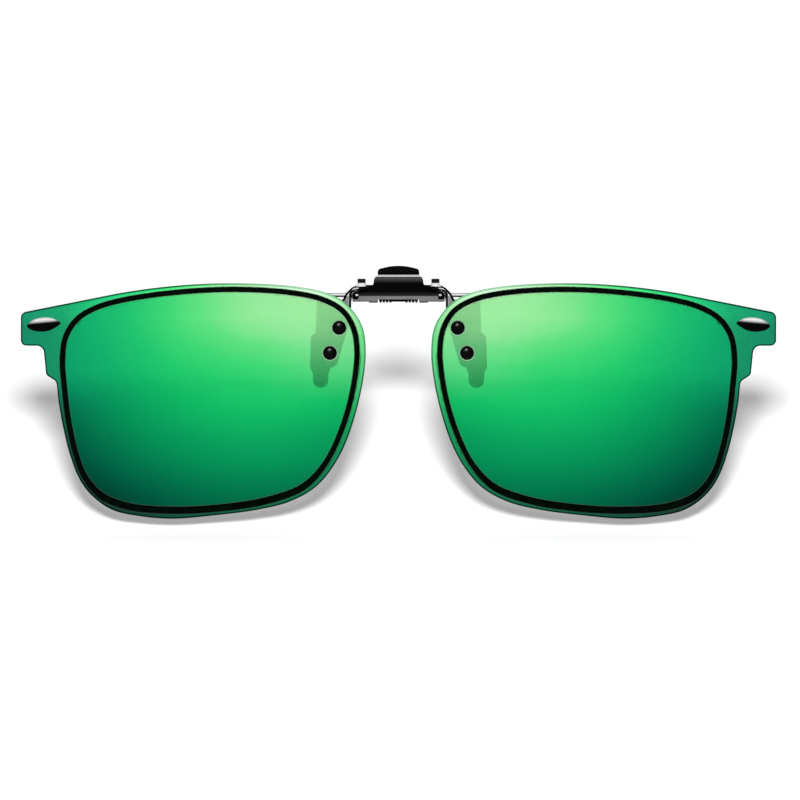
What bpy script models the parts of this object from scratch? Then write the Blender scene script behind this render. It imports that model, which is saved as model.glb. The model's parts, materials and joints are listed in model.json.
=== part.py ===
"""Flip-up clip-on sunglasses, as worn: lenses down, jaws held open by the spectacle lens.

Frame: +X is the wearer's left, -Y is the front, +Z is up. The origin is in the gripping
plane, half way between the two pairs of pads, at the height of the housing's underside.
All lengths below are in millimetres and become metres when an object is made. Outlines
are written for the +X side as (u, z), where u is the distance from the middle plane.
"""

import math

import bmesh
import bpy
from mathutils import Matrix, Vector
from mathutils.geometry import tessellate_polygon

MM = 0.001
RIGHT = ("right", -1)
LEFT = ("left", 1)
SIDES = (RIGHT, LEFT)

# Fits
RUNNING = 0.05
SEAT = 0.03

# The one pin that the rear jaw and the lenses turn on
PIN_Y = -4.0
PIN_Z = 1.1
PIN_R = 0.4
PIN_HOLE_R = PIN_R + RUNNING
PIN_HEAD_R = 0.75
PIN_HEAD = 0.3

# Housing: a rolled barrel round the pin, with a thumb plate on its middle
BARREL_R = 2.17
BARREL_HALF = 8.85
SHEET = 0.4
CURL_R = 1.1
CURL_END = 0.3
BARREL_BACK_DEG = 75
THUMB_TOP = 4.85
END_EAR = 0.6
WINDOW_HALF = 3.95
WINDOW_TOP = 0.46
NOTCH_INNER = 7.66
NOTCH_OUTER = 8.5
NOTCH_BOTTOM = 0.46
NOTCH_TOP = 1.12
LIP_OUTER = 5.7
LIP_DROP = 0.2
BUSH_R = 0.64
BUSH_INNER = 7.7
BUSH_OUTER = 8.88

# Torsion spring
COIL_R = 1.05
WIRE_R = 0.25
COIL_OUTER = 3.62
COIL_INNER = 1.5
COIL_TURNS = 3
BAR_DEG = 125.2
SPRING_LEG = 0.45

# Lens arms
ARM_FRONT = -6.7
ARM_BACK = -6.15
EAR_INNER = 9.1
EAR_THICK = 0.55
EAR_R = 0.9
WASHER_INNER = 8.93
WASHER_OUTER = 9.06
FINGER_TOP = 2.93
FINGER_BOTTOM = 2.25
STOP_U = 7.12
STOP_Y = -6.42
COLLAR_R = 0.92
COLLAR_TOP = 3.6
BUMPER_R = 0.78
BUMPER_TOP = 4.45

# Lenses
LENS_BACK = -6.95
LENS_FRONT = -7.9
GROOVE_DEPTH = 0.35
GROOVE_GAP = 0.04
RING_PROUD = 0.05
RING_WIDTH = 0.97
RING_WIDTH_LOW = 1.32
WRAP_START = 16.0
WRAP_RADIUS = 450.0
WRAP_STEP = 6.35
WRAP_STEPS = 9
TRIM_HEIGHT = 0.55

# Lens screws, as (u, z)
SCREW_PLACES = ((11.42, -4.99), (13.2, -9.84))
HEAD_R = 1.35
HEAD_HEIGHT = 0.85
SHANK_R = 0.55
SHANK_HOLE_R = SHANK_R + RUNNING
SHANK_END = -5.1
NUT_R = 1.15
NUT_BACK = -5.3
FRONT_WASHER_R = 1.53
FRONT_WASHER = 0.2
BACK_WASHER_R = 1.45

# Gripping legs: front and rear straps, mirrored about the gripping plane
LEG_NEAR = 2.25
LEG_FAR = 2.75
BAR_TOP = 1.66
BAR_BOTTOM = 0.89
FRONT_BAR_INNER = 7.0
REAR_BAR_INNER = 3.0
PAD_FACE = 1.1
PAD_FAR = 3.15

# Rear jaw
WEB_BOTTOM = 1.85
WEB_TOP = 2.25
WEB_HALF = 5.9
WEB_FRONT = -2.6
FLANGE_FRONT = 1.65
FLANGE_BACK = 2.2
FLANGE_BOTTOM = 0.9
JAW_EAR_INNER = 4.7
JAW_EAR_OUTER = 5.3
JAW_EAR_R = 0.65
TAB_FRONT = -1.5
TAB_BACK = -1.05
TAB_HALF = 4.2
TAB_TOP = 5.18
TONGUE_HALF = 3.3
TONGUE_TOP = 6.2
GRIP_HALF = 4.02
GRIP_BOTTOM = 5.21
GRIP_TOP = 6.93
GRIP_FRONT = -2.35
GRIP_BACK = -0.35

# The panel's edge from below its end piece, round the bottom, the nose side and the top
PANEL_SWEEP = (
    (65.6, -18.9), (64.8, -23.5), (63.5, -29.0), (61.6, -34.0), (59.2, -37.3), (55.2, -40.1),
    (50.0, -41.3), (43.6, -41.8), (36.0, -41.2), (27.4, -40.1), (21.0, -38.5), (16.0, -35.7),
    (12.5, -31.6), (10.1, -27.0), (8.2, -21.3), (6.9, -15.6), (6.3, -10.0), (6.75, -5.4),
    (8.1, -2.6), (10.9, 0.3), (14.6, 1.95), (20.0, 2.98), (28.0, 3.52), (37.0, 3.5),
    (46.0, 2.8), (54.0, 1.65),
)
# The end piece that follows it, as (u, z, corner radius)
END_PIECE = (
    (72.84, -2.1, 1.25), (72.84, -8.48, 1.1), (68.5, -8.48, 1.4), (67.95, -14.1, 1.1),
    (65.95, -15.35, 1.3),
)
# The middle line of the black ring
RING_LINE = (
    (52.9, 0.39), (43.6, 1.75), (32.1, 2.4), (20.5, 1.75), (14.3, 0.35), (10.7, -1.8),
    (8.7, -5.0), (8.0, -8.9), (8.25, -13.5), (9.4, -19.6), (11.5, -26.0), (14.3, -31.4),
    (18.3, -35.6), (25.1, -38.2), (34.4, -39.7), (43.6, -40.15), (52.2, -39.4), (57.4, -37.3),
    (60.4, -33.9), (62.3, -28.9), (63.65, -22.7), (64.4, -16.6), (64.8, -11.0), (64.1, -6.6),
    (61.9, -3.3), (58.2, -1.1),
)
TRIM_OUTLINE = (
    (71.65, -4.7), (70.8, -5.45), (68.2, -5.75), (66.3, -5.05), (65.2, -4.1), (66.4, -3.25),
    (68.4, -3.0), (70.6, -3.55),
)


# Outlines -------------------------------------------------------------------------------


def circle(u, z, radius, steps):
    turns = (2 * math.pi * step / steps for step in range(steps))
    return [(u + radius * math.cos(turn), z + radius * math.sin(turn)) for turn in turns]


def arc(u, z, radius, first_deg, last_deg, steps):
    points = []
    for step in range(steps + 1):
        turn = math.radians(first_deg + (last_deg - first_deg) * step / steps)
        points.append((u + radius * math.cos(turn), z + radius * math.sin(turn)))
    return points


def fillet(before, corner, after, radius, steps=4):
    """The arc that rounds one corner of a polygon."""
    here = Vector(corner)
    back = (Vector(before) - here).normalized()
    ahead = (Vector(after) - here).normalized()
    half = back.angle(ahead) / 2
    reach = radius / math.tan(half)
    centre = here + (back + ahead).normalized() * radius / math.sin(half)
    first = here + back * reach - centre
    last = here + ahead * reach - centre
    sweep = first.angle_signed(last)
    points = []
    for step in range(steps + 1):
        spoke = Matrix.Rotation(-sweep * step / steps, 2) @ first
        points.append(tuple(centre + spoke))
    return points


def rounded(corners, closed=True):
    """A polygon whose corners are (u, z, radius), with radius 0 for a sharp one."""
    points = []
    count = len(corners)
    for index, (u, z, radius) in enumerate(corners):
        at_end = not closed and index in (0, count - 1)
        if at_end or radius == 0:
            points.append((u, z))
            continue
        before = corners[index - 1][:2]
        after = corners[(index + 1) % count][:2]
        points.extend(fillet(before, (u, z), after, radius))
    return points


def blend(first, second, time, low, high):
    return first.lerp(second, (time - low) / (high - low))


def through(before, start, end, after, steps):
    """Points of a centripetal Catmull-Rom curve from start up to, but not at, end."""
    p0, p1, p2, p3 = (Vector(point) for point in (before, start, end, after))
    t1 = math.sqrt((p1 - p0).length)
    t2 = t1 + math.sqrt((p2 - p1).length)
    t3 = t2 + math.sqrt((p3 - p2).length)
    points = []
    for step in range(steps):
        time = t1 + (t2 - t1) * step / steps
        middle = blend(p1, p2, time, t1, t2)
        earlier = blend(blend(p0, p1, time, 0, t1), middle, time, 0, t2)
        later = blend(middle, blend(p2, p3, time, t2, t3), time, t1, t3)
        points.append(tuple(blend(earlier, later, time, t1, t2)))
    return points


def smooth_loop(points, steps):
    count = len(points)
    loop = []
    for index in range(count):
        before = points[index - 1]
        after = points[(index + 2) % count]
        loop += through(before, points[index], points[(index + 1) % count], after, steps)
    return loop


def smooth_run(points, before, after, steps):
    whole = (before, *points, after)
    run = []
    for index in range(1, len(whole) - 2):
        run += through(*whole[index - 1:index + 3], steps)
    run.append(points[-1])
    return run


def offset_loop(loop, distance_at):
    """The loop moved outwards by distance_at(z) at each point."""
    area = sum(a[0] * b[1] - b[0] * a[1] for a, b in zip(loop, loop[1:] + loop[:1]))
    outward = 1 if area > 0 else -1
    moved = []
    for index, (u, z) in enumerate(loop):
        ahead = loop[(index + 1) % len(loop)]
        along = (Vector(ahead) - Vector(loop[index - 1])).normalized()
        reach = outward * distance_at(z)
        moved.append((u + along.y * reach, z - along.x * reach))
    return moved


def panel_outline():
    corners = ((54.0, 1.65, 0), *END_PIECE, (65.6, -18.9, 0))
    end_piece = rounded(corners, closed=False)[1:-1]
    return smooth_run(PANEL_SWEEP, (65.85, -16.6), (60.0, 0.52), 3) + end_piece


def ring_half_width(z):
    """The ring is wider along the bottom than round the rest."""
    share = min(max((-30.0 - z) / 8.0, 0.0), 1.0)
    eased = share * share * (3 - 2 * share)
    return (RING_WIDTH + (RING_WIDTH_LOW - RING_WIDTH) * eased) / 2


def ring_edges(gap):
    line = smooth_loop(RING_LINE, 2)
    outer = offset_loop(line, lambda z: ring_half_width(z) + gap)
    inner = offset_loop(line, lambda z: -ring_half_width(z) - gap)
    return outer, inner


# Solids ---------------------------------------------------------------------------------


def on_front(side, depth):
    """Places an outline (u, z) at one depth along Y, on one side."""
    return lambda a, b: Vector((side * a, depth, b))


def on_side(x):
    """Places an outline (y, z) in the plane at one x."""
    return lambda a, b: Vector((x, a, b))


def add_loop(mesh, outline, place):
    return [mesh.verts.new(place(a, b)) for a, b in outline]


def add_cap(mesh, outlines, loops):
    corners = [vert for loop in loops for vert in loop]
    flat = [[Vector((a, b, 0)) for a, b in outline] for outline in outlines]
    for triangle in tessellate_polygon(flat):
        mesh.faces.new([corners[index] for index in triangle])


def add_wall(mesh, loop, other):
    for index in range(len(loop)):
        mesh.faces.new((loop[index - 1], loop[index], other[index], other[index - 1]))


def slab(outlines, near, far):
    """A plate between two placements, with the later outlines as holes."""
    mesh = bmesh.new()
    near_loops = [add_loop(mesh, outline, near) for outline in outlines]
    far_loops = [add_loop(mesh, outline, far) for outline in outlines]
    add_cap(mesh, outlines, near_loops)
    add_cap(mesh, outlines, far_loops)
    for loop, other in zip(near_loops, far_loops):
        add_wall(mesh, loop, other)
    return mesh


def box(low, high):
    mesh = bmesh.new()
    middle = (Vector(low) + Vector(high)) / 2
    size = Vector(high) - Vector(low)
    bmesh.ops.create_cube(mesh, size=1, matrix=Matrix.Translation(middle) @ Matrix.Diagonal((*size, 1)))
    return mesh


def turned(profile, centre, axis, steps, closed=False):
    """Spins a profile of (radius, height) about an axis through centre."""
    along = Vector(axis)
    across = along.orthogonal().normalized()
    mesh = bmesh.new()
    verts = [mesh.verts.new(Vector(centre) + across * r + along * h) for r, h in profile]
    edges = [mesh.edges.new(pair) for pair in zip(verts, verts[1:])]
    if closed:
        edges.append(mesh.edges.new((verts[-1], verts[0])))
    bmesh.ops.spin(
        mesh, geom=verts + edges, cent=centre, axis=along, angle=2 * math.pi, steps=steps,
        use_merge=True,
    )
    bmesh.ops.remove_doubles(mesh, verts=mesh.verts[:], dist=0.0005)
    return mesh


def sleeve(inner_r, outer_r, low, high, centre, axis, steps):
    profile = ((inner_r, low), (outer_r, low), (outer_r, high), (inner_r, high))
    return turned(profile, centre, axis, steps, closed=True)


def cylinder(radius, low, high, centre, axis, steps):
    profile = ((0, low), (radius, low), (radius, high), (0, high))
    return turned(profile, centre, axis, steps)


def wrap_depth(u):
    """How far the panel has curved back at a distance from the middle plane."""
    reach = max(u - WRAP_START, 0.0)
    whole = min(int(reach / WRAP_STEP), WRAP_STEPS - 1)
    low = (whole * WRAP_STEP) ** 2
    high = ((whole + 1) * WRAP_STEP) ** 2
    share = reach / WRAP_STEP - whole
    return (low + (high - low) * share) / (2 * WRAP_RADIUS)


def wrap_back(mesh, side):
    """Curves a flat piece of the lens panel back towards the temple, in flat strips."""
    for step in range(WRAP_STEPS):
        knot = Vector((side * (WRAP_START + step * WRAP_STEP), 0, 0))
        every = mesh.verts[:] + mesh.edges[:] + mesh.faces[:]
        bmesh.ops.bisect_plane(mesh, geom=every, dist=0.001, plane_co=knot, plane_no=(1, 0, 0))
    for vert in mesh.verts:
        vert.co.y += wrap_depth(abs(vert.co.x))


# Objects --------------------------------------------------------------------------------


def material(name, colour, metallic, roughness):
    made = bpy.data.materials.new(name)
    made.use_nodes = True
    shader = made.node_tree.nodes["Principled BSDF"]
    shader.inputs["Base Color"].default_value = (*colour, 1)
    shader.inputs["Metallic"].default_value = metallic
    shader.inputs["Roughness"].default_value = roughness
    return made


def add_object(name, mesh, look, parent=None, smooth=False):
    """Makes an object from a mesh in millimetres, keeping the parent's frame."""
    bmesh.ops.recalc_face_normals(mesh, faces=mesh.faces[:])
    bmesh.ops.scale(mesh, vec=(MM, MM, MM), verts=mesh.verts[:])
    data = bpy.data.meshes.new(name)
    mesh.to_mesh(data)
    mesh.free()
    if smooth:
        data.shade_smooth()
        data.set_sharp_from_angle(angle=math.radians(40))
    made = bpy.data.objects.new(name, data)
    bpy.context.scene.collection.objects.link(made)
    if look is not None:
        data.materials.append(look)
    if parent is not None:
        made.parent = parent
        made.location = -parent.location
    return made


def with_boolean(target, tool_mesh, operation):
    """Joins a hidden tool to the target, or cuts it away, with a Boolean modifier."""
    tool = add_object(f"{target.name}_{operation.lower()}", tool_mesh, None, target.parent)
    tool.hide_render = True
    tool.display_type = "WIRE"
    modifier = target.modifiers.new(operation.title(), "BOOLEAN")
    modifier.object = tool
    modifier.operation = operation
    modifier.solver = "EXACT"


def add_axis(name):
    """An empty on the pin's axis, which the pieces of one moving body hang from."""
    empty = bpy.data.objects.new(name, None)
    empty.location = (0, PIN_Y * MM, PIN_Z * MM)
    bpy.context.scene.collection.objects.link(empty)
    return empty


def make_looks():
    return {
        "black_paint": material("black_paint", (0.012, 0.012, 0.013), 0.6, 0.3),
        "steel": material("steel", (0.56, 0.56, 0.57), 1.0, 0.25),
        "bright_steel": material("bright_steel", (0.85, 0.85, 0.86), 1.0, 0.08),
        "black_rubber": material("black_rubber", (0.01, 0.01, 0.01), 0.0, 0.45),
        "pad_rubber": material("pad_rubber", (0.05, 0.05, 0.05), 0.0, 0.6),
        "clear_nylon": material("clear_nylon", (0.8, 0.85, 0.8), 0.0, 0.3),
        "black_screw": material("black_screw", (0.01, 0.01, 0.012), 0.5, 0.22),
        "mirror_green": material("mirror_green", (0.02, 0.45, 0.16), 0.8, 0.08),
        "ring_black": material("ring_black", (0.004, 0.012, 0.006), 0.6, 0.2),
        "trim_black": material("trim_black", (0.02, 0.02, 0.02), 0.9, 0.12),
    }


# Front jaw ------------------------------------------------------------------------------


def barrel_profile(inset):
    """One face of the rolled sheet as (y, z): from its back edge over the top to the curl."""
    outer = arc(0, 0, BARREL_R - inset, BARREL_BACK_DEG, 180, 9)
    curl = arc(CURL_R - BARREL_R, 0, CURL_R - inset, 180, 270, 5)[1:]
    end = [(CURL_END, inset - CURL_R)]
    return [(PIN_Y + y, PIN_Z + z) for y, z in outer + curl + end]


def thumb_plate():
    """The front plate above the barrel, with flared and filleted foot corners."""
    shoulder = PIN_Z + BARREL_R - 0.04
    low = PIN_Z + 0.9
    side = (
        (4.42, THUMB_TOP, 0.25), (4.74, 4.3, 0.5), (4.86, shoulder, 0.45),
        (5.9, shoulder - 0.12, 0), (5.9, low, 0),
    )
    other = tuple((-u, z, radius) for u, z, radius in reversed(side))
    outline = rounded(side + other)
    front = PIN_Y - BARREL_R + 0.33
    return slab([outline], on_front(1, front), on_front(1, front + 0.5))


def bush_notch(side):
    """The notch in the barrel's front that shows a bush."""
    ends = sorted((side * NOTCH_INNER, side * NOTCH_OUTER))
    front = PIN_Y - BARREL_R
    return box((ends[0], front - 1, NOTCH_BOTTOM), (ends[1], front + SHEET + 0.3, NOTCH_TOP))


def curl_lip(side):
    """A small lip that hangs from the curl beside the spring's window."""
    ends = sorted((side * WINDOW_HALF, side * LIP_OUTER))
    bottom = PIN_Z - CURL_R
    middle = PIN_Y + CURL_R - BARREL_R
    return box((ends[0], middle - 0.2, bottom - LIP_DROP), (ends[1], middle + 0.2, bottom + 0.2))


def add_front_housing(looks):
    outline = barrel_profile(0) + barrel_profile(SHEET)[::-1]
    shell = slab([outline], on_side(-BARREL_HALF), on_side(BARREL_HALF))
    housing = add_object("front_housing", shell, looks["black_paint"], smooth=True)
    with_boolean(housing, thumb_plate(), "UNION")
    for _, side in SIDES:
        with_boolean(housing, end_ear(side), "UNION")
    window_low = (-WINDOW_HALF, PIN_Y - BARREL_R - 1, -1)
    window_high = (WINDOW_HALF, PIN_Y + BARREL_R, WINDOW_TOP)
    with_boolean(housing, box(window_low, window_high), "DIFFERENCE")
    for _, side in SIDES:
        with_boolean(housing, bush_notch(side), "DIFFERENCE")
        with_boolean(housing, curl_lip(side), "UNION")


def end_ear(side):
    """Closes one end of the barrel and holds a bush; its back edge takes the front leg."""
    profile = barrel_profile(0.1)
    back = (PIN_Y + CURL_END + 0.93, PIN_Z + 0.1 - CURL_R)
    outline = profile[:-1] + [back, (back[0], PIN_Z + BARREL_R * 0.72)]
    hole = circle(PIN_Y, PIN_Z, BUSH_R + SEAT, 20)
    inner = side * (BARREL_HALF - END_EAR)
    outer = side * (BARREL_HALF - 0.05)
    return slab([outline, hole], on_side(inner), on_side(outer))


def add_pin(looks):
    end = EAR_INNER + EAR_THICK + 0.08
    half = (
        (PIN_R, end), (PIN_HEAD_R, end), (PIN_HEAD_R, end + PIN_HEAD * 0.6),
        (PIN_HEAD_R * 0.6, end + PIN_HEAD), (0, end + PIN_HEAD),
    )
    other = tuple((radius, -height) for radius, height in reversed(half))
    pin = turned(other + half, (0, PIN_Y, PIN_Z), (1, 0, 0), 18)
    add_object("hinge_pin", pin, looks["steel"], smooth=True)


def add_end_rings(name, side, looks):
    """The bush in the housing's ear and the friction washer between it and the arm."""
    centre = (0, PIN_Y, PIN_Z)
    axis = (side, 0, 0)
    bush = sleeve(PIN_HOLE_R, BUSH_R, BUSH_INNER, BUSH_OUTER, centre, axis, 20)
    add_object(f"hinge_bush_{name}", bush, looks["black_rubber"], smooth=True)
    washer = sleeve(PIN_HOLE_R, EAR_R, WASHER_INNER, WASHER_OUTER, centre, axis, 20)
    add_object(f"friction_washer_{name}", washer, looks["bright_steel"], smooth=True)


def spring_half():
    """One coil's path from its pressing leg to the middle bar, as (x, y, z)."""
    path = [(COIL_OUTER, PIN_Y + COIL_R, PIN_Z + SPRING_LEG)]
    total = 360 * COIL_TURNS + BAR_DEG
    steps = round(total / 24)
    for step in range(steps + 1):
        turn = math.radians(-total * step / steps)
        x = COIL_OUTER + (COIL_INNER - COIL_OUTER) * step / steps
        path.append((x, PIN_Y + COIL_R * math.cos(turn), PIN_Z + COIL_R * math.sin(turn)))
    return path


def add_spring(looks):
    half = spring_half()
    path = half + [(-x, y, z) for x, y, z in reversed(half)]
    line = bpy.data.curves.new("torsion_spring", "CURVE")
    line.dimensions = "3D"
    line.bevel_depth = WIRE_R * MM
    line.bevel_resolution = 1
    line.use_fill_caps = True
    spline = line.splines.new("POLY")
    spline.points.add(len(path) - 1)
    for point, place in zip(spline.points, path):
        point.co = (*(Vector(place) * MM), 1)
    line.materials.append(looks["steel"])
    bpy.context.scene.collection.objects.link(bpy.data.objects.new("torsion_spring", line))


def front_leg_outline():
    return rounded((
        (FRONT_BAR_INNER, BAR_BOTTOM, 0), (12.4, BAR_BOTTOM, 0.9), (12.95, -2.0, 0),
        (13.45, -13.6, 1.3), (16.3, -13.6, 1.3), (15.85, -2.0, 0), (15.65, BAR_TOP, 1.4),
        (FRONT_BAR_INNER, BAR_TOP, 0),
    ))


def rear_leg_outline():
    return rounded((
        (REAR_BAR_INNER, BAR_BOTTOM, 0), (12.4, BAR_BOTTOM, 0.9), (12.95, -2.0, 0),
        (13.3, -9.0, 0.4), (13.95, -10.0, 0.4), (14.05, -16.2, 1.0), (16.1, -16.2, 1.0),
        (16.1, -10.0, 0.4), (15.95, -9.0, 0.4), (15.85, -2.0, 0), (15.65, BAR_TOP, 1.4),
        (REAR_BAR_INNER, BAR_TOP, 0),
    ))


def front_pad_outline():
    return rounded((
        (13.0, -6.0, 0.5), (13.15, -13.0, 0.6), (13.6, -14.15, 0.8), (16.35, -14.15, 0.8),
        (17.1, -12.6, 1.0), (16.9, -6.7, 0.8), (16.1, -6.0, 0.5),
    ))


def rear_pad_outline():
    return rounded((
        (13.5, -10.6, 0.4), (13.55, -15.2, 1.0), (13.9, -16.65, 1.4), (16.25, -16.65, 1.4),
        (16.55, -15.2, 1.0), (16.6, -10.6, 0.4),
    ))


def add_pad(name, side, outline, core, front, look, parent):
    """A rubber sleeve with a blind pocket for the tip of its leg."""
    face, far = (-PAD_FACE, -PAD_FAR) if front else (PAD_FACE, PAD_FAR)
    near_core, far_core = (-LEG_NEAR, -LEG_FAR) if front else (LEG_NEAR, LEG_FAR)
    outward = -1 if front else 1
    pad = slab([outline], on_front(side, face), on_front(side, far))
    pad_object = add_object(name, pad, look, parent, smooth=True)
    pocket = offset_loop(core, lambda z: SEAT)
    near_wall = on_front(side, near_core - outward * SEAT)
    far_wall = on_front(side, far_core + outward * SEAT)
    with_boolean(pad_object, slab([pocket], near_wall, far_wall), "DIFFERENCE")


def add_leg(name, side, outline, front, looks, parent):
    near, far = (-LEG_NEAR, -LEG_FAR) if front else (LEG_NEAR, LEG_FAR)
    leg = slab([outline], on_front(side, near), on_front(side, far))
    add_object(name, leg, looks["steel"], parent)


def add_front_jaw(looks):
    add_front_housing(looks)
    add_pin(looks)
    add_spring(looks)
    for name, side in SIDES:
        add_end_rings(name, side, looks)
        core = front_leg_outline()
        add_leg(f"front_leg_{name}", side, core, True, looks, None)
        add_pad(f"front_pad_{name}", side, front_pad_outline(), core, True, looks["pad_rubber"], None)


# Rear jaw -------------------------------------------------------------------------------


def jaw_ear(side):
    disc = arc(PIN_Y, PIN_Z, JAW_EAR_R, 75, 325, 12)
    joint = [
        (WEB_FRONT + 0.6, WEB_BOTTOM - 0.5), (WEB_FRONT + 0.6, WEB_TOP - 0.05),
        (WEB_FRONT, WEB_TOP - 0.05),
    ]
    outline = disc + joint
    hole = circle(PIN_Y, PIN_Z, PIN_HOLE_R, 18)
    return slab([outline, hole], on_side(side * JAW_EAR_INNER), on_side(side * JAW_EAR_OUTER))


def thumb_tab():
    outline = rounded((
        (-TAB_HALF, WEB_BOTTOM + 0.1, 0), (TAB_HALF, WEB_BOTTOM + 0.1, 0), (TAB_HALF, TAB_TOP, 0.2),
        (TONGUE_HALF, TAB_TOP, 0), (TONGUE_HALF, TONGUE_TOP, 0.5), (-TONGUE_HALF, TONGUE_TOP, 0.5),
        (-TONGUE_HALF, TAB_TOP, 0), (-TAB_HALF, TAB_TOP, 0.2),
    ))
    return slab([outline], on_front(1, TAB_FRONT), on_front(1, TAB_BACK))


def add_rear_plate(looks, parent):
    web = box((-WEB_HALF, WEB_FRONT, WEB_BOTTOM), (WEB_HALF, FLANGE_BACK, WEB_TOP))
    plate = add_object("rear_plate", web, looks["bright_steel"], parent)
    flange_low = (-WEB_HALF + 0.05, FLANGE_FRONT, FLANGE_BOTTOM)
    flange_high = (WEB_HALF - 0.05, FLANGE_BACK - 0.03, WEB_BOTTOM + 0.2)
    with_boolean(plate, box(flange_low, flange_high), "UNION")
    with_boolean(plate, thumb_tab(), "UNION")
    for _, side in SIDES:
        with_boolean(plate, jaw_ear(side), "UNION")


def grip_outline():
    """Straight foot, rounded upper corners and a domed top."""
    rise = 0.75
    crown = (GRIP_HALF ** 2 + rise ** 2) / (2 * rise)
    shoulder = GRIP_TOP - rise
    sweep = math.degrees(math.asin(GRIP_HALF * 0.75 / crown))
    top = arc(0, GRIP_TOP - crown, crown, 90 - sweep, 90 + sweep, 8)
    right = fillet((GRIP_HALF, GRIP_BOTTOM), (GRIP_HALF, shoulder + 0.1), top[0], 0.7)
    left = [(-u, z) for u, z in reversed(right)]
    return [(-GRIP_HALF, GRIP_BOTTOM), (GRIP_HALF, GRIP_BOTTOM), *right, *top, *left]


def add_thumb_grip(looks, parent):
    """A rubber cap with a domed top and a pocket for the tab's tongue."""
    cap = slab([grip_outline()], on_front(1, GRIP_FRONT), on_front(1, GRIP_BACK))
    grip = add_object("thumb_grip", cap, looks["black_rubber"], parent, smooth=True)
    low = (-TONGUE_HALF - SEAT, TAB_FRONT - SEAT, GRIP_BOTTOM - 0.5)
    high = (TONGUE_HALF + SEAT, TAB_BACK + SEAT, TONGUE_TOP + SEAT)
    with_boolean(grip, box(low, high), "DIFFERENCE")


def add_rear_jaw(looks):
    axis = add_axis("rear_jaw_axis")
    add_rear_plate(looks, axis)
    add_thumb_grip(looks, axis)
    for name, side in SIDES:
        core = rear_leg_outline()
        add_leg(f"rear_leg_{name}", side, core, False, looks, axis)
        add_pad(f"rear_pad_{name}", side, rear_pad_outline(), core, False, looks["pad_rubber"], axis)


# Flip bridge ----------------------------------------------------------------------------


def arm_outline():
    tip = arc(13.35, -10.75, 1.95, 340, 215, 6)
    inner = [(9.65, -4.58), (EAR_INNER, -0.9)]
    finger = rounded((
        (EAR_INNER, -0.9, 0), (EAR_INNER, 1.5, 0), (8.4, FINGER_BOTTOM, 0.5), (6.4, FINGER_BOTTOM, 0.2),
        (6.3, FINGER_TOP, 0.2), (8.09, FINGER_TOP, 0), (8.13, 3.2, 0), (9.1, 2.7, 1.0),
        (10.15, 1.65, 1.0), (10.72, 0.5, 0.5), (13.0, -0.5, 0.7), (13.35, -4.5, 2.0), (15.1, -10.2, 0),
    ), closed=False)[1:-1]
    return tip + inner + finger


def arm_ear(side):
    disc = arc(PIN_Y, PIN_Z, EAR_R, -90, 90, 9)
    outline = disc + [(ARM_FRONT + 0.1, PIN_Z + EAR_R * 0.6), (ARM_FRONT + 0.1, PIN_Z - EAR_R)]
    hole = circle(PIN_Y, PIN_Z, PIN_HOLE_R, 18)
    inner = side * (EAR_INNER + 0.02)
    return slab([outline, hole], on_side(inner), on_side(inner + side * EAR_THICK))


def add_arm(name, side, looks, parent):
    holes = [circle(u, z, SHANK_HOLE_R, 16) for u, z in SCREW_PLACES]
    plate = slab([arm_outline(), *holes], on_front(side, ARM_FRONT), on_front(side, ARM_BACK))
    arm = add_object(f"lens_arm_{name}", plate, looks["steel"], parent)
    with_boolean(arm, arm_ear(side), "UNION")


def add_stop(name, side, looks, parent):
    centre = (side * STOP_U, STOP_Y, 0)
    collar = cylinder(COLLAR_R, FINGER_TOP + SEAT, COLLAR_TOP, centre, (0, 0, 1), 20)
    add_object(f"stop_collar_{name}", collar, looks["bright_steel"], parent, smooth=True)
    bumper = cylinder(BUMPER_R, COLLAR_TOP + SEAT, BUMPER_TOP, centre, (0, 0, 1), 18)
    add_object(f"stop_bumper_{name}", bumper, looks["black_rubber"], parent, smooth=True)


def add_lens(name, side, looks, parent):
    """The panel: its edge, a groove for the ring, and the two screw holes."""
    edge = panel_outline()
    groove_outer, groove_inner = ring_edges(GROOVE_GAP)
    holes = [circle(u, z, SHANK_HOLE_R, 16) for u, z in SCREW_PLACES]
    back = on_front(side, LENS_BACK)
    front = on_front(side, LENS_FRONT)
    floor = on_front(side, LENS_FRONT + GROOVE_DEPTH)
    mesh = bmesh.new()
    back_edge = add_loop(mesh, edge, back)
    front_edge = add_loop(mesh, edge, front)
    back_holes = [add_loop(mesh, hole, back) for hole in holes]
    front_holes = [add_loop(mesh, hole, front) for hole in holes]
    outer_rim = add_loop(mesh, groove_outer, front)
    inner_rim = add_loop(mesh, groove_inner, front)
    outer_floor = add_loop(mesh, groove_outer, floor)
    inner_floor = add_loop(mesh, groove_inner, floor)
    add_cap(mesh, [edge, *holes], [back_edge, *back_holes])
    add_cap(mesh, [edge, groove_outer], [front_edge, outer_rim])
    add_cap(mesh, [groove_inner, *holes], [inner_rim, *front_holes])
    add_cap(mesh, [groove_outer, groove_inner], [outer_floor, inner_floor])
    add_wall(mesh, back_edge, front_edge)
    add_wall(mesh, outer_rim, outer_floor)
    add_wall(mesh, inner_rim, inner_floor)
    for back_hole, front_hole in zip(back_holes, front_holes):
        add_wall(mesh, back_hole, front_hole)
    wrap_back(mesh, side)
    add_object(f"lens_{name}", mesh, looks["mirror_green"], parent)


def add_ring(name, side, looks, parent):
    near = on_front(side, LENS_FRONT - RING_PROUD)
    far = on_front(side, LENS_FRONT + GROOVE_DEPTH - GROOVE_GAP)
    mesh = slab(list(ring_edges(0)), near, far)
    wrap_back(mesh, side)
    add_object(f"rim_line_{name}", mesh, looks["ring_black"], parent)


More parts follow.
